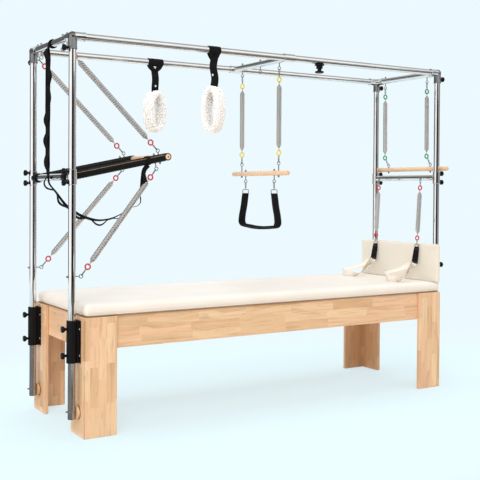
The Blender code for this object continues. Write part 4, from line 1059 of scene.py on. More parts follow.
SLING_Y = 0.158
parts = dowel((TRAPEZE_X, 0, TRAPEZE_BAR_Z), 0.302, DOWEL_R)
for sy in (-1, 1):
    parts += eyebolt((TRAPEZE_X, sy * EYE_Y, TRAPEZE_BAR_Z), Z, TRAPEZE_UP, DOWEL_R)
    parts += eyebolt((TRAPEZE_X, sy * SLING_Y, TRAPEZE_BAR_Z), -Z, EYE_DROP, DOWEL_R)
piece("trapeze_dowel", parts, "trapeze", ["trapeze_bar"])

parts = dowel((ROLL_X, 0, ROLL_Z), 0.358, DOWEL_R)
for sy in (-1, 1):
    parts += eyebolt((ROLL_X, sy * EYE_Y, ROLL_Z), Z, ROLL_UP, DOWEL_R)
piece("roll_dowel", parts, "roll_down", ["roll_down_bar"])

# %% [markdown]
# ## Push-through bar
# Two arms turn on the left crossbar and a dowel joins their ends. Each arm is a tube in a sewn black
# cover, with a dark binding along the inner side. A pale line along the upper outer side is painted
# highlight. A hub at one end goes round the crossbar, and the dowel passes through an eye at the other end.

# %% Arms and dowel
hub_bore, cover_end = TUBE_R + 0.0006, ARM_LENGTH - 0.006
cover = [(0, 0.021), (ARM_R * 0.93, 0.021), (ARM_R, 0.025), (ARM_R, ARM_LENGTH - 0.012)]
cover += [(ARM_R * 0.9, cover_end), (0, cover_end)]
hub = [(hub_bore, -0.022), (0.0255, -0.022), (0.026, -0.021), (0.026, 0.021), (0.0255, 0.022), (hub_bore, 0.022)]
eye = [(0.0159, -0.0208), (0.0192, -0.0208), (0.0202, -0.0195)]
eye += [(r, -h) for r, h in reversed(eye)]
for sy, side in SIDES:
    root = pivot + Y * sy * ARM_Y
    end = root + arm_way * ARM_LENGTH
    outward = Y * sy
    parts = [(lathe(cover, root, arm_way, 40), arm_cover)]
    parts.append((lathe(hub, root, Y, 48, closed=True), enamel))
    parts.append((lathe(eye, end, Y, 40, closed=True), enamel))
    # A pale line high on the outer side is painted highlight, and a dark binding runs along the inner side.
    for turn, trim in ((0.62, painted_line_finish), (2.52, binding)):
        edge_at = arm_up * math.sin(turn) * ARM_R + outward * math.cos(turn) * ARM_R
        line = [root + arm_way * t + edge_at for t in np.linspace(0.03, ARM_LENGTH - 0.018, 12)]
        parts.append((sweep(line, section(0.0032, 0.0012), wide=Vector(arm_up)), trim))
    parts += eyebolt(root + arm_way * UPPER_AT, arm_up, UPPER_DROP, ARM_R)
    parts += eyebolt(root + arm_way * LOWER_AT, -arm_up, LOWER_DROP, ARM_R)
    piece(f"padded_arm_{side}", parts, "push_bar", [f"push_arm_{side}"])
piece("push_handle", dowel(pivot + arm_way * ARM_LENGTH, 0.244, 0.0155, True), "push_bar", ["push_dowel"])

# %% [markdown]
# ## Safety strap
# A long strap goes round the left end tube, hangs down outside the crossbar and swings in a slack bow to
# the front arm. It is a ladder strap: a second ply is sewn on every eleven centimetres and stands off in
# small loops between the seams, so that the hook can be set at any of them. Both plies are swept from
# one line. The second one is the same line, pushed outwards by half a wave between two seams.

# %% Ladder strap
strap_x = -POST_X - TUBE_R - 0.0035
arm_point = pivot - Y * ARM_Y + arm_way * 0.458
route = [
    (strap_x + 0.001, -0.012, RAIL_Z - 0.004),
    (strap_x - 0.002, -0.012, 1.940),
    (strap_x - 0.004, -0.013, 1.800),
    (strap_x - 0.005, -0.017, 1.550),
    (strap_x - 0.006, -0.019, 1.402),
    (strap_x - 0.003, -0.022, 1.300),
    (strap_x + 0.002, -0.028, 1.262),
    (-1.2240, -0.045, 1.2230),
    (-1.1770, -0.060, 1.1560),
    (-1.1280, -0.078, 1.1151),
    (-1.0870, -0.096, 1.0920),
    (-1.0229, -0.125, 1.0745),
    (-0.9567, -0.150, 1.0841),
    (-0.8930, -0.178, 1.1190),
    (-0.8420, -0.200, 1.1680),
    (-0.8160, -0.212, 1.2350),
    (-0.8085, -0.218, 1.2914),
    (-0.8010, -0.222, 1.3400),
    tuple(arm_point - arm_up * (ARM_R + 0.0025)),
]
STRAP_WIDTH, PLY, BAY = 0.0268, 0.0018, 0.112
fine_route = smooth_path(route, 24)
gone = [0.0]
for a, b in zip(fine_route, fine_route[1:]):
    gone.append(gone[-1] + (b - a).length)
total = gone[-1]
spots = np.linspace(0, total, int(total / 0.005))
strap_line = [Vector([np.interp(s, gone, [p[k] for p in fine_route]) for k in range(3)]) for s in spots]
# How the band is turned, in degrees: by its height while it hangs, then by its share of the length.
HANGING = ([0.0, 0.03, 0.16, 0.42, 0.60, 0.90, 0.985], [90, 90, 182, 178, 128, 126, 96])
BANKING = ([0.52, 0.60, 0.80, 0.90], [0, 22, 22, 0])
HANGS_DOWN, HANGS_FOR = 0.699, 0.72
strap_wide, strap_out = [], []
for i, p in enumerate(strap_line):
    ahead = (strap_line[min(i + 1, len(spots) - 1)] - strap_line[max(i - 1, 0)]).normalized()
    lean = min(1.0, max(0.0, (spots[i] - total * 0.80) / (total * 0.17)))
    down_share = (RAIL_Z - p.z) / HANGS_DOWN if spots[i] < HANGS_FOR else 1.0
    turned = math.radians(float(np.interp(down_share, *HANGING)))
    hung = Vector((math.cos(turned), math.sin(turned), 0))
    bank = math.radians(float(np.interp(spots[i] / total, *BANKING)))
    w = hung if down_share < HANGING[0][-1] else Y * (1 - lean) + arm_way * lean
    w = (w - ahead * w.dot(ahead)).normalized()
    w = (w * math.cos(bank) + w.cross(ahead) * math.sin(bank)).normalized()
    strap_wide.append(w)
    strap_out.append(w.cross(ahead).normalized())
# The second ply lies on the first at each seam, and stands off most in the middle between two seams.
SEAM_SHARE, PUFF, PUFF_VARIES, LAST_PUFF = 0.12, 0.0205, 0.005, total - 0.05
second = []
for i, p in enumerate(strap_line):
    bay, share = divmod(spots[i] / BAY, 1.0)
    open_share = min(1.0, max(0.0, (share - SEAM_SHARE) / (1.0 - 2 * SEAM_SHARE)))
    swell = max(0.0, math.sin(math.pi * open_share)) ** 1.3
    puff = (PUFF + PUFF_VARIES * math.sin(bay * 2.3)) * swell if spots[i] < LAST_PUFF else 0.0
    second.append(p + strap_out[i] * (PLY + 0.0002 + puff))
parts = [(sweep(strap_line, section(STRAP_WIDTH, PLY, 0.4, 2), wide=strap_wide), webbing)]
parts.append((sweep(second, section(STRAP_WIDTH - 0.002, PLY * 0.8, 0.4, 2), wide=strap_wide), webbing))


def band_round(at, axis, bore, width, thick):
    """Band of webbing wrapped round a bar."""
    outer, half = bore + thick, width / 2
    profile = [(bore, -half), (outer, -half), (outer, half), (bore, half)]
    return (lathe(profile, at, axis, 40, closed=True), webbing)


parts.append(band_round((-POST_X, -0.012, RAIL_Z), Y, TUBE_R + 0.0004, 0.022, 0.0034))
parts.append(band_round((-POST_X, -0.016, RAIL_Z), Y, TUBE_R + 0.0030, 0.017, 0.0022))
parts.append(band_round(arm_point, arm_way, ARM_R + 0.0004, 0.022, 0.0034))
seams = []
for k in range(1, int(total / BAY) + 1):
    i = int(np.searchsorted(spots, min(k * BAY, total - 0.01)))
    for side in (-1, 1):
        at = second[i] + strap_out[i] * PLY * 0.4 + strap_wide[i] * side * 0.003
        for step in (-0.0055, -0.0018, 0.0018, 0.0055):
            seams.append((at + strap_wide[i] * (step + side * 0.001), strap_out[i], strap_wide[i]))
parts.append((shape_of(set_copies(stitch_model, seams, thread)), thread))
bow = ("frame", "push_bar", Vector((-1.245, -0.03, 1.25)), Vector((arm_point.x - 0.01, -0.215, 1.25)))
piece("ladder_strap", parts, bow, ["safety_strap"])
print("strap is", round(total, 3), "m long,", len(seams), "stitches")

# %% [markdown]
# ## Stop under the front rail
# A flanged block hangs under the rail and a knob below presses it tight, so the carriage can't roll past.

# %% Stop
stop_at = Vector((0.290, -POST_Y, RAIL_Z))
saddle = [(0, 0.0194), (0.0272, 0.0194), (0.0288, 0.0208), (0.0288, 0.0248), (0.0276, 0.0260), (0.0196, 0.0268)]
saddle += [(0.0190, 0.0276), (0.0190, 0.0430), (0.0180, 0.0442), (0.0126, 0.0450), (0.0118, 0.0458)]
saddle += [(0.0118, 0.0572), (0, 0.0576)]
piece("stop_saddle_cast", [(lathe(saddle, stop_at, -Z, 48), enamel)], "frame", ["stop_saddle"])
stem = [(0, 0.0345), (0.0058, 0.0345), (0.0058, 0.0580)]
wheel = [(0.0212, 0.0584), (0.0248, 0.0598), (0.0260, 0.0620), (0.0260, 0.0664), (0.0248, 0.0688)]
wheel += [(0.0216, 0.0703), (0.0130, 0.0705), (0.0118, 0.0698), (0, 0.0698)]
wheel_shape = lathe(stem + wheel, stop_at, -Z, 64, flutes=10, flute_depth=0.0010)
piece("stop_wheel", [(wheel_shape, knob_plastic)], "stop_knob", ["stop_knob"])

# %% [markdown]
# ## Sling
# The sling hangs under the trapeze for the knees or the back. Two steel rings carry flared webbing straps,
# which are sewn to a soft padded band at the bottom. The webbing is two plies with bound edges, and the
# band is a filled tube that is flatter where it lies along the strap.

# %% Sling straps and padded band
SLING_EYE_Z, SLING_LOW_Z = TRAPEZE_BAR_Z - EYE_DROP, TRAPEZE_BAR_Z - 0.3265
d_ring_z = SLING_EYE_Z - 0.060


def eased(values, at):
    """Values spread evenly over 0 to 1, read at these places."""
    return [float(np.interp(t, np.linspace(0, 1, len(values)), values)) for t in at]


def d_ring(centre, wide, up, half, top, low):
    """Flat ring with round corners."""
    turn, corners = 0.0045, []
    for a, b, first in ((1, top, 0), (-1, top, 1), (-1, -low, 2), (1, -low, 3)):
        for s in range(5):
            angle = math.pi / 2 * (first + s / 4)
            side, rise = a * (half - turn), b - turn if b > 0 else b + turn
            corners.append(centre + wide * (side + turn * math.cos(angle)) + up * (rise + turn * math.sin(angle)))
    return (wire(corners, EYE_WIRE, cyclic=True), plated)


half_line = [
    (SLING_Y, d_ring_z - 0.0112),
    (SLING_Y + 0.008, d_ring_z - 0.045),
    (SLING_Y + 0.018, d_ring_z - 0.090),
    (SLING_Y + 0.034, d_ring_z - 0.140),
    (SLING_Y + 0.041, SLING_LOW_Z + 0.040),
    (SLING_Y + 0.036, SLING_LOW_Z + 0.021),
    (SLING_Y + 0.010, SLING_LOW_Z + 0.010),
]
RING_HALF, RING_TOP, RING_LOW = 0.0208, 0.0103, 0.0123
straps = []
for sy in (-1, 1):
    outward = Y * sy
    ring_at = Vector((TRAPEZE_X, sy * SLING_Y, d_ring_z))
    straps.append(d_ring(ring_at, X, Z, RING_HALF, RING_TOP, RING_LOW))
    seat = Vector((TRAPEZE_X, sy * SLING_Y, SLING_EYE_Z - EYE_R))
    straps += snap_hook(seat, ring_at + Z * RING_TOP, Y)
    line = smooth_path([(TRAPEZE_X, sy * y, z) for y, z in half_line], 10)
    share = np.linspace(0, 1, len(line))
    sizes = [(w, 1.0) for w in eased([0.94, 0.97, 0.97, 0.98, 1.0, 1.0, 0.98], share)]
    straps.append((sweep(line, section(0.0490, 0.0034, 0.5, 3), wide=X, sizes=sizes), webbing))
    outer = [p + outward * 0.0020 for p in line]
    for edge in (-1, 1):
        edge_path = [p + X * edge * 0.0220 * s[0] for p, s in zip(outer, sizes)]
        straps.append((sweep(edge_path, section(0.0052, 0.0016, 0.5, 2), wide=X), binding))
    # The strap is folded round the ring's lower side: inner leg, lap and outer leg.
    over = [(0.0040 * math.cos(a), 0.0040 * math.sin(a)) for a in np.linspace(math.pi, 0, 9)]
    lap = [ring_at + outward * u + Z * (v - RING_LOW - 0.0044) for u, v in over]
    inner_leg = [line[9] - outward * 0.0034, line[4] - outward * 0.0036]
    outer_leg = [line[4] + outward * 0.0036, line[9] + outward * 0.0034]
    fold = [*inner_leg, *lap, *outer_leg]
    straps.append((sweep(fold, section(0.0385, 0.0022, 0.5, 2), wide=X), webbing))
    for edge in (-1, 1):
        row = np.arange(0.001, 0.019, 0.0042)
        sewn = [(line[9] + outward * 0.0030 + X * edge * w, outward, X) for w in row]
        straps.append((shape_of(set_copies(stitch_model, sewn, thread)), thread))
piece("sling_straps", straps, "sling", ["sling"])

low_line = [(SLING_Y + 0.039, 0.035), (SLING_Y + 0.033, 0.018), (SLING_Y + 0.010, 0.0105)]
low_line += [(0.110, 0.0058), (0.070, 0.0026), (0.030, 0.0008)]
low_line = [(y, SLING_LOW_Z + rise) for y, rise in low_line]
low_line += [(-y, z) for y, z in reversed(low_line)]
line = smooth_path([(TRAPEZE_X, y, z) for y, z in low_line], 8)
share = np.linspace(0, 1, len(line))
profile = [0.34, 0.68, 0.90, 0.98, 1.0, 1.0]
profile += profile[::-1]
sizes = [(0.92 + 0.08 * t, t) for t in eased(profile, share)]
parts = [(sweep(line, section(0.050, 0.0190, 0.92, 6), wide=X, sizes=sizes), webbing)]
for edge in (-1, 1):
    piping = [p + X * edge * 0.0245 * s[0] for p, s in zip(line, sizes)]
    parts.append((wire(piping[3:-3], 0.0016, sides=8), binding))
sling_pad = piece("sling_pad", parts, "sling")

# %% [markdown]
# ## Hand loops
# Each arm spring ends in a hand loop: a black sleeve on a steel ring, and a loop of cotton webbing that
# comes out of it and lies open on the mattress. The tip stands on its edge and the sides lean outwards.
# The loop is one strap, so it is swept from one line, with a row of stitches along both edges.

# %% Hand loops
MAT_TOP_Z = 0.6673
LOOP_REACH, LOOP_HALF, COTTON_WIDE = 0.255, 0.066, 0.0385
# The painted shade lines on the near side run between these points of the strap's line.
SHADE_LINE_FROM, SHADE_LINE_TO = 14, 52
STEPS = [0.0, 0.09, 0.193, 0.30, 0.421, 0.54, 0.667, 0.79, 0.90, 0.975, 1.0]
OPENING = [0.02, 0.11, 0.27, 0.47, 0.667, 0.86, 1.0, 0.98, 0.80, 0.46, 0.0]
# For the near side (-1) and the far side (1): height over the mattress, None where the edge lies on it,
# and tilt in degrees. The front loop stands a little higher on its far side.
HEIGHT = {
    -1: [0.1112, 0.0990, 0.0860, 0.0725, 0.0580, 0.0445, 0.0300, None, None, None, None],
    1: [0.1112, 0.0950, 0.0780, 0.0640, 0.0530, 0.0460, 0.0410, 0.0375, 0.0330, 0.0260, None],
}
TILT = {-1: [0, 3, 7, 12, 20, 32, 46, 55, 34, 10, 0], 1: [0, 16, 42, 62, 72, 75, 75, 70, 46, 14, 0]}
RAISED = [0.0, 0.003, 0.008, 0.010, 0.011, 0.011, 0.011, 0.010, 0.008, 0.003, 0.0]
for sy, side in SIDES:
    foot = FOOT + Y * sy * EYE_Y
    hang = (foot - Vector((POST_X - EYE_DROP, sy * EYE_Y, RIGHT_BAR_Z))).normalized()
    lean = Vector((-0.17, 0, -0.985)).normalized()
    sleeve_top = foot + hang * 0.008
    line = smooth_path([sleeve_top + lean * t for t in (0, 0.020, 0.060, 0.112)], 10)
    share = np.linspace(0, 1, len(line))
    sizes = list(zip(eased([0.68, 0.84, 0.92, 1.0], share), eased([0.72, 0.86, 1.0, 0.94], share)))
    parts = [(sweep(line, section(0.0400, 0.0118, 0.85, 5), wide=SLEEVE_WIDE, sizes=sizes), webbing)]
    for t, across in ((0.014, 0.0310), (0.100, 0.0392)):
        centre = sleeve_top + lean * t
        band = sweep([centre - lean * 0.004, centre + lean * 0.004], section(across, 0.0122, 0.85, 5), wide=SLEEVE_WIDE)
        parts.append((band, binding))
    parts.append(d_ring(foot, SLEEVE_WIDE, -hang, 0.012, EYE_R, 0.0075))
    begin = sleeve_top + lean * 0.106
    drift = -0.05 if sy < 0 else -0.02
    sides = {}
    for way in (-1, 1):
        sides[way] = []
        for s, opening, z, tilt, up in zip(STEPS, OPENING, HEIGHT[way], TILT[way], RAISED):
            tilt = math.radians(tilt)
            z = COTTON_WIDE / 2 * math.cos(tilt) + 0.0024 if z is None else z
            z += MAT_TOP_Z + (up if way > 0 and sy < 0 else 0.0)
            at = Vector((begin.x - s * LOOP_REACH, begin.y + way * opening * LOOP_HALF + drift * s * s, z))
            sides[way].append((at, Vector((0, way * math.sin(tilt), math.cos(tilt)))))
    # Both ends come down out of the sleeve, and turn on edge over the first few centimetres.
    for way in (-1, 1):
        near = sides[way][1][0]
        sides[way][0] = (begin + Y * way * 0.0012, -SLEEVE_WIDE)
        sides[way][1] = (near, (Z * 0.7 - SLEEVE_WIDE * 0.3).normalized())
        sides[way].insert(0, (begin - lean * 0.020 + Y * way * 0.0008, -SLEEVE_WIDE))
    around = sides[-1] + sides[1][-2::-1]
    line = smooth_path([p for p, _ in around], 8)
    leaning = smooth_path([w for _, w in around], 8)
    share = np.linspace(0, 1, len(line))
    wide = eased([0.70, 0.90, 0.98, 1, 1, 1, 1, 1, 1, 1, 1, 1, 0.98, 0.90, 0.70], share)
    strap = sweep(line, section(COTTON_WIDE, 0.0026, 0.5, 3), wide=leaning, sizes=[(w, 1.0) for w in wide])
    parts.append((strap, cotton))
    for row in (-0.36, 0.36):
        seam = [p + w.normalized() * COTTON_WIDE * row * s for p, w, s in zip(line, leaning, wide)]
        for face_side in (-1, 1):
            sewn = []
            for i in range(2, len(line) - 3):
                ahead = (line[i + 1] - line[i - 1]).normalized()
                normal = ahead.cross(leaning[i]).normalized() * face_side
                sewn.append((seam[i] + normal * 0.0012, normal, ahead))
            parts.append((shape_of(set_copies(stitch_model, sewn, white_thread)), white_thread))
    # A dark raised line down the middle of the near side is painted shade, where the strap is creased.
    rib = []
    for i in range(SHADE_LINE_FROM, SHADE_LINE_TO + 2):
        ahead = (line[i + 1] - line[i - 1]).normalized()
        outward = leaning[i].cross(ahead).normalized()
        outward *= -1 if outward.y > 0 else 1
        rib.append(line[i] - leaning[i].normalized() * COTTON_WIDE * 0.06 + outward * 0.0014)
    parts.append((wire(rib, 0.0015, sides=6), painted_line_finish))
    # Dark lines along both edges of the near side: painted shade in the gap between the loop's two sides.
    for edge, thick in ((0.5, 0.0017), (-0.5, 0.0012)):
        reach = COTTON_WIDE * edge
        edge_shade = [line[i] + leaning[i].normalized() * reach * wide[i] for i in range(SHADE_LINE_FROM, SHADE_LINE_TO)]
        parts.append((wire(edge_shade, thick, sides=6), painted_line_finish))
    piece(f"cotton_loop_{side}", parts, f"arm_{side}", [f"hand_loop_{side}"])

# %% [markdown]
# ## Fleece loops
# Two soft loops hang from the top rails. Each is a broad cuff of white pile on a strap that is hitched
# round the rail. The pile is the part that the eye judges, so it is not painted on: thousands of small
# curls stand on the cuff. A geometry tree scatters points over the surface and sets one bent tuft on
# each, turned and scaled at random from a fixed seed. A tuft has only a few faces, because there are so
# many.

# %% Pile tree
pile_tree, given, ending = tree_of(
    "pile",
    Tuft=("NodeSocketObject", None),
    Density=(FLOAT, 45000.0),
    Short=(FLOAT, 0.7),
    Long=(FLOAT, 1.35),
    Seed=(INTEGER, 3),
    Finish=("NodeSocketMaterial", None),
)
sockets = {"Mesh": given.out("Geometry"), "Density": given.out("Density"), "Seed": given.out("Seed")}
dots = add(pile_tree, "GeometryNodeDistributePointsOnFaces", {"distribute_method": "RANDOM"}, sockets)
tuft = add(pile_tree, "GeometryNodeObjectInfo", None, {"Object": given.out("Tuft")}, output="Geometry")
LEANS = 0.55
sockets = {0: (-LEANS, -LEANS, 0.0), 1: (LEANS, LEANS, math.tau), "Seed": given.out("Seed")}
spin = add(pile_tree, "FunctionNodeRandomValue", {"data_type": "FLOAT_VECTOR"}, sockets)
sockets = {0: dots.out("Rotation"), 1: spin}
turned = add(pile_tree, "FunctionNodeRotateRotation", {"rotation_space": "LOCAL"}, sockets)
sockets = {2: given.out("Short"), 3: given.out("Long"), "Seed": given.out("Seed")}
size = add(pile_tree, "FunctionNodeRandomValue", {"data_type": "FLOAT"}, sockets, output=1)
sockets = {"Points": dots, "Instance": tuft, "Rotation": turned, "Scale": size}
standing = add(pile_tree, "GeometryNodeInstanceOnPoints", None, sockets)
joined = add(pile_tree, "GeometryNodeJoinGeometry")
for socket in (standing.socket, given.out("Geometry").socket):
    pile_tree.links.new(socket, joined.socket.node.inputs[0])
finish_tree(pile_tree, ending, joined, given.out("Finish"))

# %% Fleece loops
tuft_line = [(0, 0, -0.002), (0.0004, 0, 0.0016), (0.0016, 0, 0.0040), (0.0034, 0, 0.0052)]
tuft_shape = sweep(tuft_line, circle(0.0024, 5), wide=Y, sizes=[(1, 1), (1.05, 1.05), (0.85, 0.85), (0.25, 0.25)])
tuft_object = object_of("tuft", mesh_of("tuft", [(tuft_shape, pile)]))
CUFF_WIDE, CUFF_THICK = 0.083, 0.031


def fleece_cuff(centre, facing, half_wide, half_high, seed):
    """Bumpy broad oval band, before the pile is set on it."""
    wide = facing.cross(Z)
    a, b = half_wide - CUFF_THICK / 2, half_high - CUFF_THICK / 2
    turns = np.linspace(0, math.tau, 96, False)
    line = [centre + wide * a * math.cos(t) + Z * b * math.sin(t) for t in turns]
    sizes = []
    for p in line:
        n = noise.noise(Vector((p.x + p.y, p.z, seed)) * 24.0) * 0.06
        m = noise.noise(Vector((p.z, p.x + p.y, seed + 5)) * 40.0) * 0.12
        sizes.append((1 + n, 1 + m))
    outline = section(CUFF_WIDE - 0.009, CUFF_THICK - 0.009, 0.9, 8)
    points, faces, run = sweep(line, outline, wide=facing, cyclic=True, sizes=sizes)
    lumps = []
    for p in points:
        middle = min(line, key=lambda q: (q - p).length_squared)
        push = noise.noise(Vector(p) * 95.0) * 0.0022 + noise.noise(Vector(p) * 210.0) * 0.0010
        lumps.append(p + (p - middle).normalized() * push)
    return lumps, faces, run


CUFFS = (
    (1, "back", -0.487, 0.292, 0.123, 0.066, Vector((0.32, -0.947, 0)), 0.048),
    (-1, "front", -0.425, 0.322, 0.126, 0.060, Vector((-0.905, -0.426, 0)), 0.036),
)
# The front strap has been twisted so often that it no longer hangs straight. Sway is (share of its
# height, X); rivets are (X, height over the place where the legs meet).
SWAY = {
    -1: ((0, 0.006), (0.3, -0.002), (0.65, 0.009), (1, 0.0)),
    1: ((0, -0.004), (0.4, 0.004), (0.8, 0.001), (1, 0.004)),
}
RIVETS = {-1: ((-0.007, -0.082), (-0.010, 0.045)), 1: ((0.004, -0.090), (0.0, 0.018))}
MEET_DROP = {-1: 0.052, 1: 0.050}
rivet = [(0, 0), (0.0058, 0), (0.0062, 0.0012), (0.0048, 0.0024), (0, 0.0028)]
for sy, side, x, drop, half_high, half_wide, facing, hitch_half in CUFFS:
    centre = Vector((x, sy * POST_Y, RAIL_Z - drop))
    cuff_shape = fleece_cuff(centre, facing.normalized(), half_wide, half_high, sy + 2.0)
    tufts = grow(pile_tree, mesh_of("fleece", [(cuff_shape, pile)]), Tuft=tuft_object, Finish=pile)
    parts = [(shape_of(tufts), pile)]
    cuff = piece(f"fleece_cuff_{side}", parts, f"fleece_{side}", [f"fleece_loop_{side}"], angle=180)
    # The strap is folded round the rail: two legs of it meet below in a V.
    high = centre.z + half_high
    under = RAIL_Z - TUBE_R - 0.0022
    meet = RAIL_Z - MEET_DROP[sy]
    parts = []
    for y_side in (-1, 1):
        fall = high - 0.032 - meet
        line = [(x + s, centre.y + y_side * 0.0011, meet + 0.014 + fall * t) for t, s in SWAY[sy]]
        parts.append((sweep(smooth_path(line, 8), section(0.045, 0.0018, 0.5, 3), wide=X), webbing))
    reach = hitch_half - 0.0155
    for way in (-1, 1):
        line = [(x + way * reach, centre.y - 0.0145, under + 0.010)]
        line.append((x + way * reach * 0.82, centre.y - 0.0075, under - 0.008))
        line.append((x + way * 0.008, centre.y - 0.0030, meet))
        path = smooth_path(line, 8)
        sizes = [(w, 1.0) for w in eased([1.0, 0.95, 0.66], np.linspace(0, 1, len(path)))]
        for y_side in (-1, 1):
            legs = [Vector((p.x, centre.y + y_side * (centre.y - p.y), p.z)) for p in path]
            parts.append((sweep(legs, section(0.031, 0.0020, 0.5, 3), wide=X, sizes=sizes), webbing))
        parts.append(band_round((x + way * reach, centre.y, RAIL_Z), X, TUBE_R + 0.0009, 0.031, 0.0026))
    parts.append(band_round((x, centre.y, RAIL_Z), X, TUBE_R + 0.0020, hitch_half * 1.1, 0.0020))
    for y_side in (-1, 1):
        out = Y * y_side
        for dx, rise in RIVETS[sy]:
            at = (x + dx, centre.y + y_side * 0.0022, meet + rise)
            parts.append((lathe(rivet, at, out, 20), bright_steel))
        sewn_y, sewn_z = centre.y + y_side * 0.0024, meet - 0.026
        places = [(Vector((x + dx, sewn_y, sewn_z)), out, X) for dx in np.arange(-0.016, 0.0165, 0.004)]
        parts.append((shape_of(set_copies(stitch_model, places, thread)), thread))
    piece(f"fleece_hitch_{side}", parts, f"fleece_{side}")
bpy.data.objects.remove(tuft_object, do_unlink=True)
print("two fleece loops with", len(tufts.polygons), "faces of pile each")

# %% [markdown]
# ## Upholstery
# The mattress is firm foam on a board, under one sheet of vinyl that is pulled down and stapled below. It
# is nearly flat, with a large soft edge and a slight crown. So a rounded slab is built with its grid lines
# close together at the edges. The cover is then inflated a little by Blender's cloth solver: pressure from
# inside, no gravity, and a small cap on how far any point may move. The backboard is made the same way.

# %% Rounded slab and cloth
def slab(low, high, edge, step):
    """Closed slab of quads with round edges: fine near the edges and coarse in the middle."""
    low, high = Vector(low), Vector(high)
    lines = []
    for k in range(3):
        arc = [edge * math.tan(math.radians(a)) for a in (0, 9, 18, 27, 36, 45)]
        inner_low, inner_high = low[k] + edge, high[k] - edge
        count = max(1, round((inner_high - inner_low) / step))
        middle = list(np.linspace(inner_low, inner_high, count + 1))
        lines.append([inner_low - t for t in reversed(arc[1:])] + middle + [inner_high + t for t in arc[1:]])
    index, points, faces = {}, [], []

    def corner(i, j, k):
        if (i, j, k) not in index:
            index[i, j, k] = len(points)
            p = Vector((lines[0][i], lines[1][j], lines[2][k]))
            core = Vector([min(max(p[n], low[n] + edge), high[n] - edge) for n in range(3)])
            away = p - core
            points.append(core + away.normalized() * edge if away.length > 1e-9 else p)
        return index[i, j, k]

    last = [len(line) - 1 for line in lines]
    for axis in range(3):
        u, v = (axis + 1) % 3, (axis + 2) % 3
        for end in (0, last[axis]):
            for a in range(last[u]):
                for b in range(last[v]):
                    quad = []
                    for da, db in ((0, 0), (1, 0), (1, 1), (0, 1)):
                        at = [0, 0, 0]
                        at[axis], at[u], at[v] = end, a + da, b + db
                        quad.append(corner(*at))
                    faces.append(quad)
    return points, faces, [(0, 0, 0)] * len(points)


def inflate(mesh, most, pinned, pressure=4.0):
    """Cloth under inner pressure, with a cap on how far a point moves. Returns the new points."""
    rest = [v.co.copy() for v in mesh.vertices]
    cover = object_of("cover", mesh)
    hold = cover.vertex_groups.new(name="held")
    for i, p in enumerate(rest):
        hold.add([i], pinned(p), "REPLACE")
    cloth = cover.modifiers.new("cover", "CLOTH")
    cloth.settings.quality = 5
    cloth.settings.mass = 0.3
    cloth.settings.tension_stiffness = 15
    cloth.settings.compression_stiffness = 15
    cloth.settings.bending_stiffness = 0.6
    cloth.settings.use_pressure = True
    cloth.settings.uniform_pressure_force = pressure
    cloth.settings.effector_weights.gravity = 0
    cloth.settings.vertex_group_mass = "held"
    cloth.collision_settings.use_collision = False
    for shot in range(1, 21):
        bpy.context.scene.frame_set(shot)
    swollen = bpy.data.meshes.new_from_object(cover.evaluated_get(bpy.context.evaluated_depsgraph_get()))
    moved = []
    for before, after in zip(rest, swollen.vertices):
        step = after.co - before
        moved.append(before + step * min(1.0, most / max(step.length, 1e-9)))
    bpy.context.scene.frame_set(1)
    bpy.data.objects.remove(cover, do_unlink=True)
    return moved


def upholster(name, solid, first_box, box, edge, step, most, pinned, finish, pressed=lambda p: p):
    """Rounded slab that is inflated as cloth and then kept inside the box of its solid."""
    shape = mesh_of(name, [(slab(*first_box, edge, step), finish)], 180)
    for v, p in zip(shape.vertices, inflate(shape.copy(), most, pinned)):
        v.co = pressed(Vector([min(max(p[k], box[0][k]), box[1][k]) for k in range(3)]))
    made = piece(name, shape, "frame", [solid])
    smooth = made.modifiers.new("smooth", "SUBSURF")
    smooth.levels = smooth.render_levels = 1


def dented(p):
    """The backboard stands in the right end of the mattress and presses it down."""
    if p.x > BOARD_X - 0.002 and p.z > MAT_TOP_Z - DENT:
        p.z = MAT_TOP_Z - DENT
    return p


def mat_held(p):
    """The cover of the mattress is stapled below."""
    return 1.0 if p.z < MAT_LOW_Z + 0.012 else 0.0


def board_held(p):
    """The cover of the backboard is fixed to the board behind it."""
    return 1.0 if p.x > BOARD_X + 0.020 else 0.0


MAT_LOW_Z, DENT = 0.6003, 0.012
low, high = (-1.190, -0.373, MAT_LOW_Z), (LEG_X, 0.373, MAT_TOP_Z)
inset = 0.0016
first_box = ((low[0] + inset, low[1] + inset, low[2]), (high[0] + 0.014, high[1] - inset, high[2] - inset))
upholster("mattress_cover", "mattress", first_box, (low, high), 0.0300, 0.045, 0.004, mat_held, cream_vinyl, dented)
low, high = (BOARD_X, -0.377, MAT_TOP_Z - DENT + 0.0003), (BOARD_X + BOARD_THICK, 0.377, 0.902)
inset = 0.001
first_box = ((low[0] + inset, low[1] + inset, low[2] + 0.0005), (high[0], high[1] - inset, high[2] - inset))
upholster("backboard_cover", "backboard", first_box, (low, high), 0.0095, 0.030, 0.002, board_held, board_vinyl)
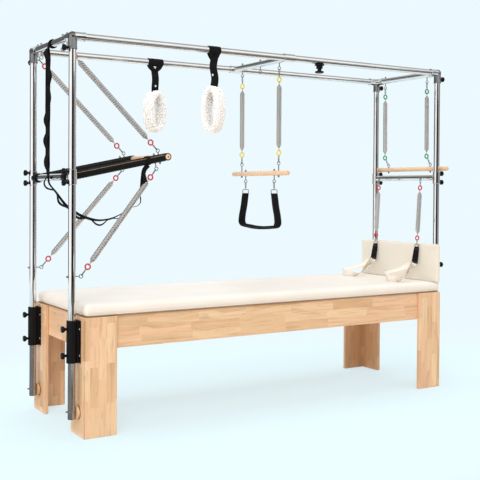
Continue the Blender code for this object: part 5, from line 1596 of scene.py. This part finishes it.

# %% [markdown]
# Under the mattress the cover is stapled to its board. A thin brown strip runs round the mattress's
# lower edge: painted shadow, an uneven dark line between mattress and wood.

# %% Painted shadow line under the mattress
SHADOW_LINE_X, SHADOW_LINE_Y = (-1.179, 1.185), 0.3635
sides = (
    (Vector((SHADOW_LINE_X[0], -SHADOW_LINE_Y, 0)), X, 2.364),
    (Vector((SHADOW_LINE_X[1], -SHADOW_LINE_Y, 0)), Y, 0.727),
    (Vector((SHADOW_LINE_X[1], SHADOW_LINE_Y, 0)), -X, 2.364),
    (Vector((SHADOW_LINE_X[0], SHADOW_LINE_Y, 0)), -Y, 0.727),
)
edge_path = [corner + way * length * i / 1000 for corner, way, length in sides for i in range(0, 1000, 8)]
sizes = [(1.0, 0.75 + 0.5 * noise.noise(p * 21.0)) for p in edge_path]
line = [p + Z * (MAT_LOW_Z + 0.0004 + 0.0012 * s[1]) for p, s in zip(edge_path, sizes)]
flat = [Z.cross((b - a).normalized()) for a, b in zip(line, line[1:] + line[:1])]
shadow_line_shape = sweep(line, section(0.010, 0.0026, 0.5, 3), wide=flat, cyclic=True, sizes=sizes)
# Painted shadow: the dark strip stands where the mattress shades the rails.
piece("dust_cloth_edge", [(shadow_line_shape, shadow_line_finish)], "frame")
print("bed and backboard covered")

# %% [markdown]
# ## Studio
# The photograph has a plain, very pale blue background with no horizon, and only a faint soft shadow on
# the floor. So the world is that colour for the camera and for reflections, and a plain white for
# lighting. The floor mixes that colour with a lit surface, so the shadow stays pale. Polished tube shows
# what stands round it: a dark room behind the camera, grey walls beside it and a warm floor. Cards, seen
# only in reflections, stand in for that room, so that the tube gets its dark lines.

# %% World, floor, cards and lamps
BACKGROUND, FLOOR_PAINT = (0.838, 0.955, 1.0), 0.70


def empty_tree(owner):
    """The node tree of a world or material, without the nodes that it starts with."""
    owner.use_nodes = True
    owner.node_tree.nodes.clear()
    return owner.node_tree


def show(shader, kind="ShaderNodeOutputMaterial"):
    """Ends a tree with this shader."""
    ending = shader.tree.nodes.new(kind)
    shader.tree.links.new(shader.socket, ending.inputs["Surface"])


def seen(tree):
    """1 for rays that see the background as a picture: from the camera, in gloss, through glass."""
    rays = add(tree, "ShaderNodeLightPath")
    direct = rays.out("Is Camera Ray").math("MAXIMUM", rays.out("Is Glossy Ray"))
    return direct.math("MAXIMUM", rays.out("Is Transmission Ray"))


world = bpy.data.worlds.new("studio")
bpy.context.scene.world = world
tree = empty_tree(world)
lit = add(tree, "ShaderNodeBackground", None, {"Color": (1.0, 1.0, 1.0), "Strength": 0.70})
shown = add(tree, "ShaderNodeBackground", None, {"Color": BACKGROUND, "Strength": 1.0})
show(add(tree, "ShaderNodeMixShader", None, {0: seen(tree), 1: lit, 2: shown}), "ShaderNodeOutputWorld")

floor_finish = bpy.data.materials.new("studio_floor")
tree = empty_tree(floor_finish)
where = add(tree, "ShaderNodeTexCoord", output="Object")
parts = add(tree, "ShaderNodeSeparateXYZ", None, {0: where})
out_x, out_y = parts.out("X") * 0.62, parts.out("Y")
away = (out_x * out_x + out_y * out_y).math("SQRT")
far = away.ramp(1.1, 2.3)
rays = seen(tree)
lit = add(tree, "ShaderNodeBsdfDiffuse", None, {"Color": mix((0.86, 0.78, 0.68), (0.70, 0.95, 1.0), rays)})
shown = add(tree, "ShaderNodeEmission", None, {"Color": BACKGROUND, "Strength": 1.0})
share = (far * (1.0 - FLOOR_PAINT) + FLOOR_PAINT) * rays
show(add(tree, "ShaderNodeMixShader", None, {0: share, 1: lit, 2: shown}))


def staged(name, corners, finish):
    """One flat face of the studio, which isn't part of the table."""
    mesh = bpy.data.meshes.new(name)
    mesh.from_pydata(corners, [], [list(range(len(corners)))])
    mesh.materials.append(finish)
    made = object_of(name, mesh)
    made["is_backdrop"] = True
    return made


def around(far, turn, height):
    """Point at a distance from the middle of the table, in a compass direction in degrees from +X."""
    return (far * math.cos(math.radians(turn)), far * math.sin(math.radians(turn)), height)


FLOOR_R, FLOOR_SIDES = 40, 64
staged("studio_floor", [around(FLOOR_R, 360 * k / FLOOR_SIDES, 0) for k in range(FLOOR_SIDES)], floor_finish)


def card(name, corners, colour):
    """Card that only reflections see."""
    finish = bpy.data.materials.new(name)
    show(add(empty_tree(finish), "ShaderNodeEmission", None, {"Color": colour, "Strength": 1.0}))
    made = staged(name, corners, finish)
    for ray in ("camera", "diffuse", "transmission", "shadow", "volume_scatter"):
        setattr(made, f"visible_{ray}", False)


def wall(name, a, b, far, low, high, colour):
    """Upright card between two compass directions."""
    card(name, [around(far, a, low), around(far, b, low), around(far, b, high), around(far, a, high)], colour)


def sector(name, a, b, near, far, colour):
    """Flat card just over the floor between two compass directions."""
    card(name, [around(d, t, 0.02) for d, t in ((near, a), (near, b), (far, b), (far, a))], colour)


room = [(-4.43, -4.41), (0.05, -7.24), (1.6, -6.9)]
for number, (a, b, high) in enumerate(zip(room, room[1:], (3.2, 2.5))):
    card(f"room_behind_{number}", [(*a, 0.0), (*b, 0.0), (*b, high), (*a, high)], (0.02, 0.02, 0.021))
sector("warm_near", -145, -30, 0.75, 3.0, (0.19, 0.155, 0.125))
sector("grey_left", -215, -145, 1.4, 6.0, (0.30, 0.30, 0.30))
sector("warm_far", -125, -30, 3.0, 12.0, (0.15, 0.115, 0.09))
wall("side_low", -84, -44, 12.5, 0.0, 3.4, (0.30, 0.30, 0.30))
wall("side_high", -100, -38, 12.6, 3.4, 14.0, (1.10, 1.09, 1.07))
wall("side_grey", -44, -15, 9.0, 0.0, 5.0, (0.24, 0.24, 0.24))
wall("side_light", -15, 60, 9.0, 0.0, 6.0, (0.62, 0.61, 0.60))
wall("back_grey", 92, 152, 9.0, 0.0, 8.0, (0.13, 0.13, 0.13))
wall("side_white", 158, 232, 9.0, 0.0, 6.0, (1.12, 1.12, 1.14))
card("ceiling", [(-20, -5, 13), (20, -5, 13), (20, 24, 13), (-20, 24, 13)], (0.46, 0.45, 0.44))


def lamp(name, at, aim, size, power):
    """Soft round lamp that polished steel doesn't mirror."""
    light = bpy.data.lights.new(name, "AREA")
    light.shape = "DISK"
    light.size = size
    light.energy = power
    made = object_of(name, light)
    facing = (Vector(aim) - Vector(at)).to_track_quat("-Z", "Y")
    made.matrix_world = Matrix.Translation(at) @ facing.to_matrix().to_4x4()
    made.visible_glossy = False


lamp("key", (-6.5, -8.5, 8.0), (0, 0, 1.0), 6.0, 680.0)
lamp("top", (0.5, 0.5, 6.5), (0, 0, 0.5), 5.0, 170.0)
lamp("left", (-9.0, 1.5, 2.6), (-1.0, 0, 0.5), 4.0, 110.0)
bpy.context.scene.view_settings.view_transform = "Standard"

# %% [markdown]
# ## Finish
# The last step works out the box of the imported solids and the box of the finished part, and prints
# how far each side of the part's box has moved, in millimetres.

# %% Sizes and end
made_low, made_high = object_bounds()
sizes = {"cad": [list(cad_low), list(cad_high)], "scene": [list(made_low), list(made_high)]}
grown = [round(1000 * (b - a), 1) for a, b in zip((*cad_low, *cad_high), (*made_low, *made_high))]
print(len(made_pieces), "pieces; grown by", grown, "mm")
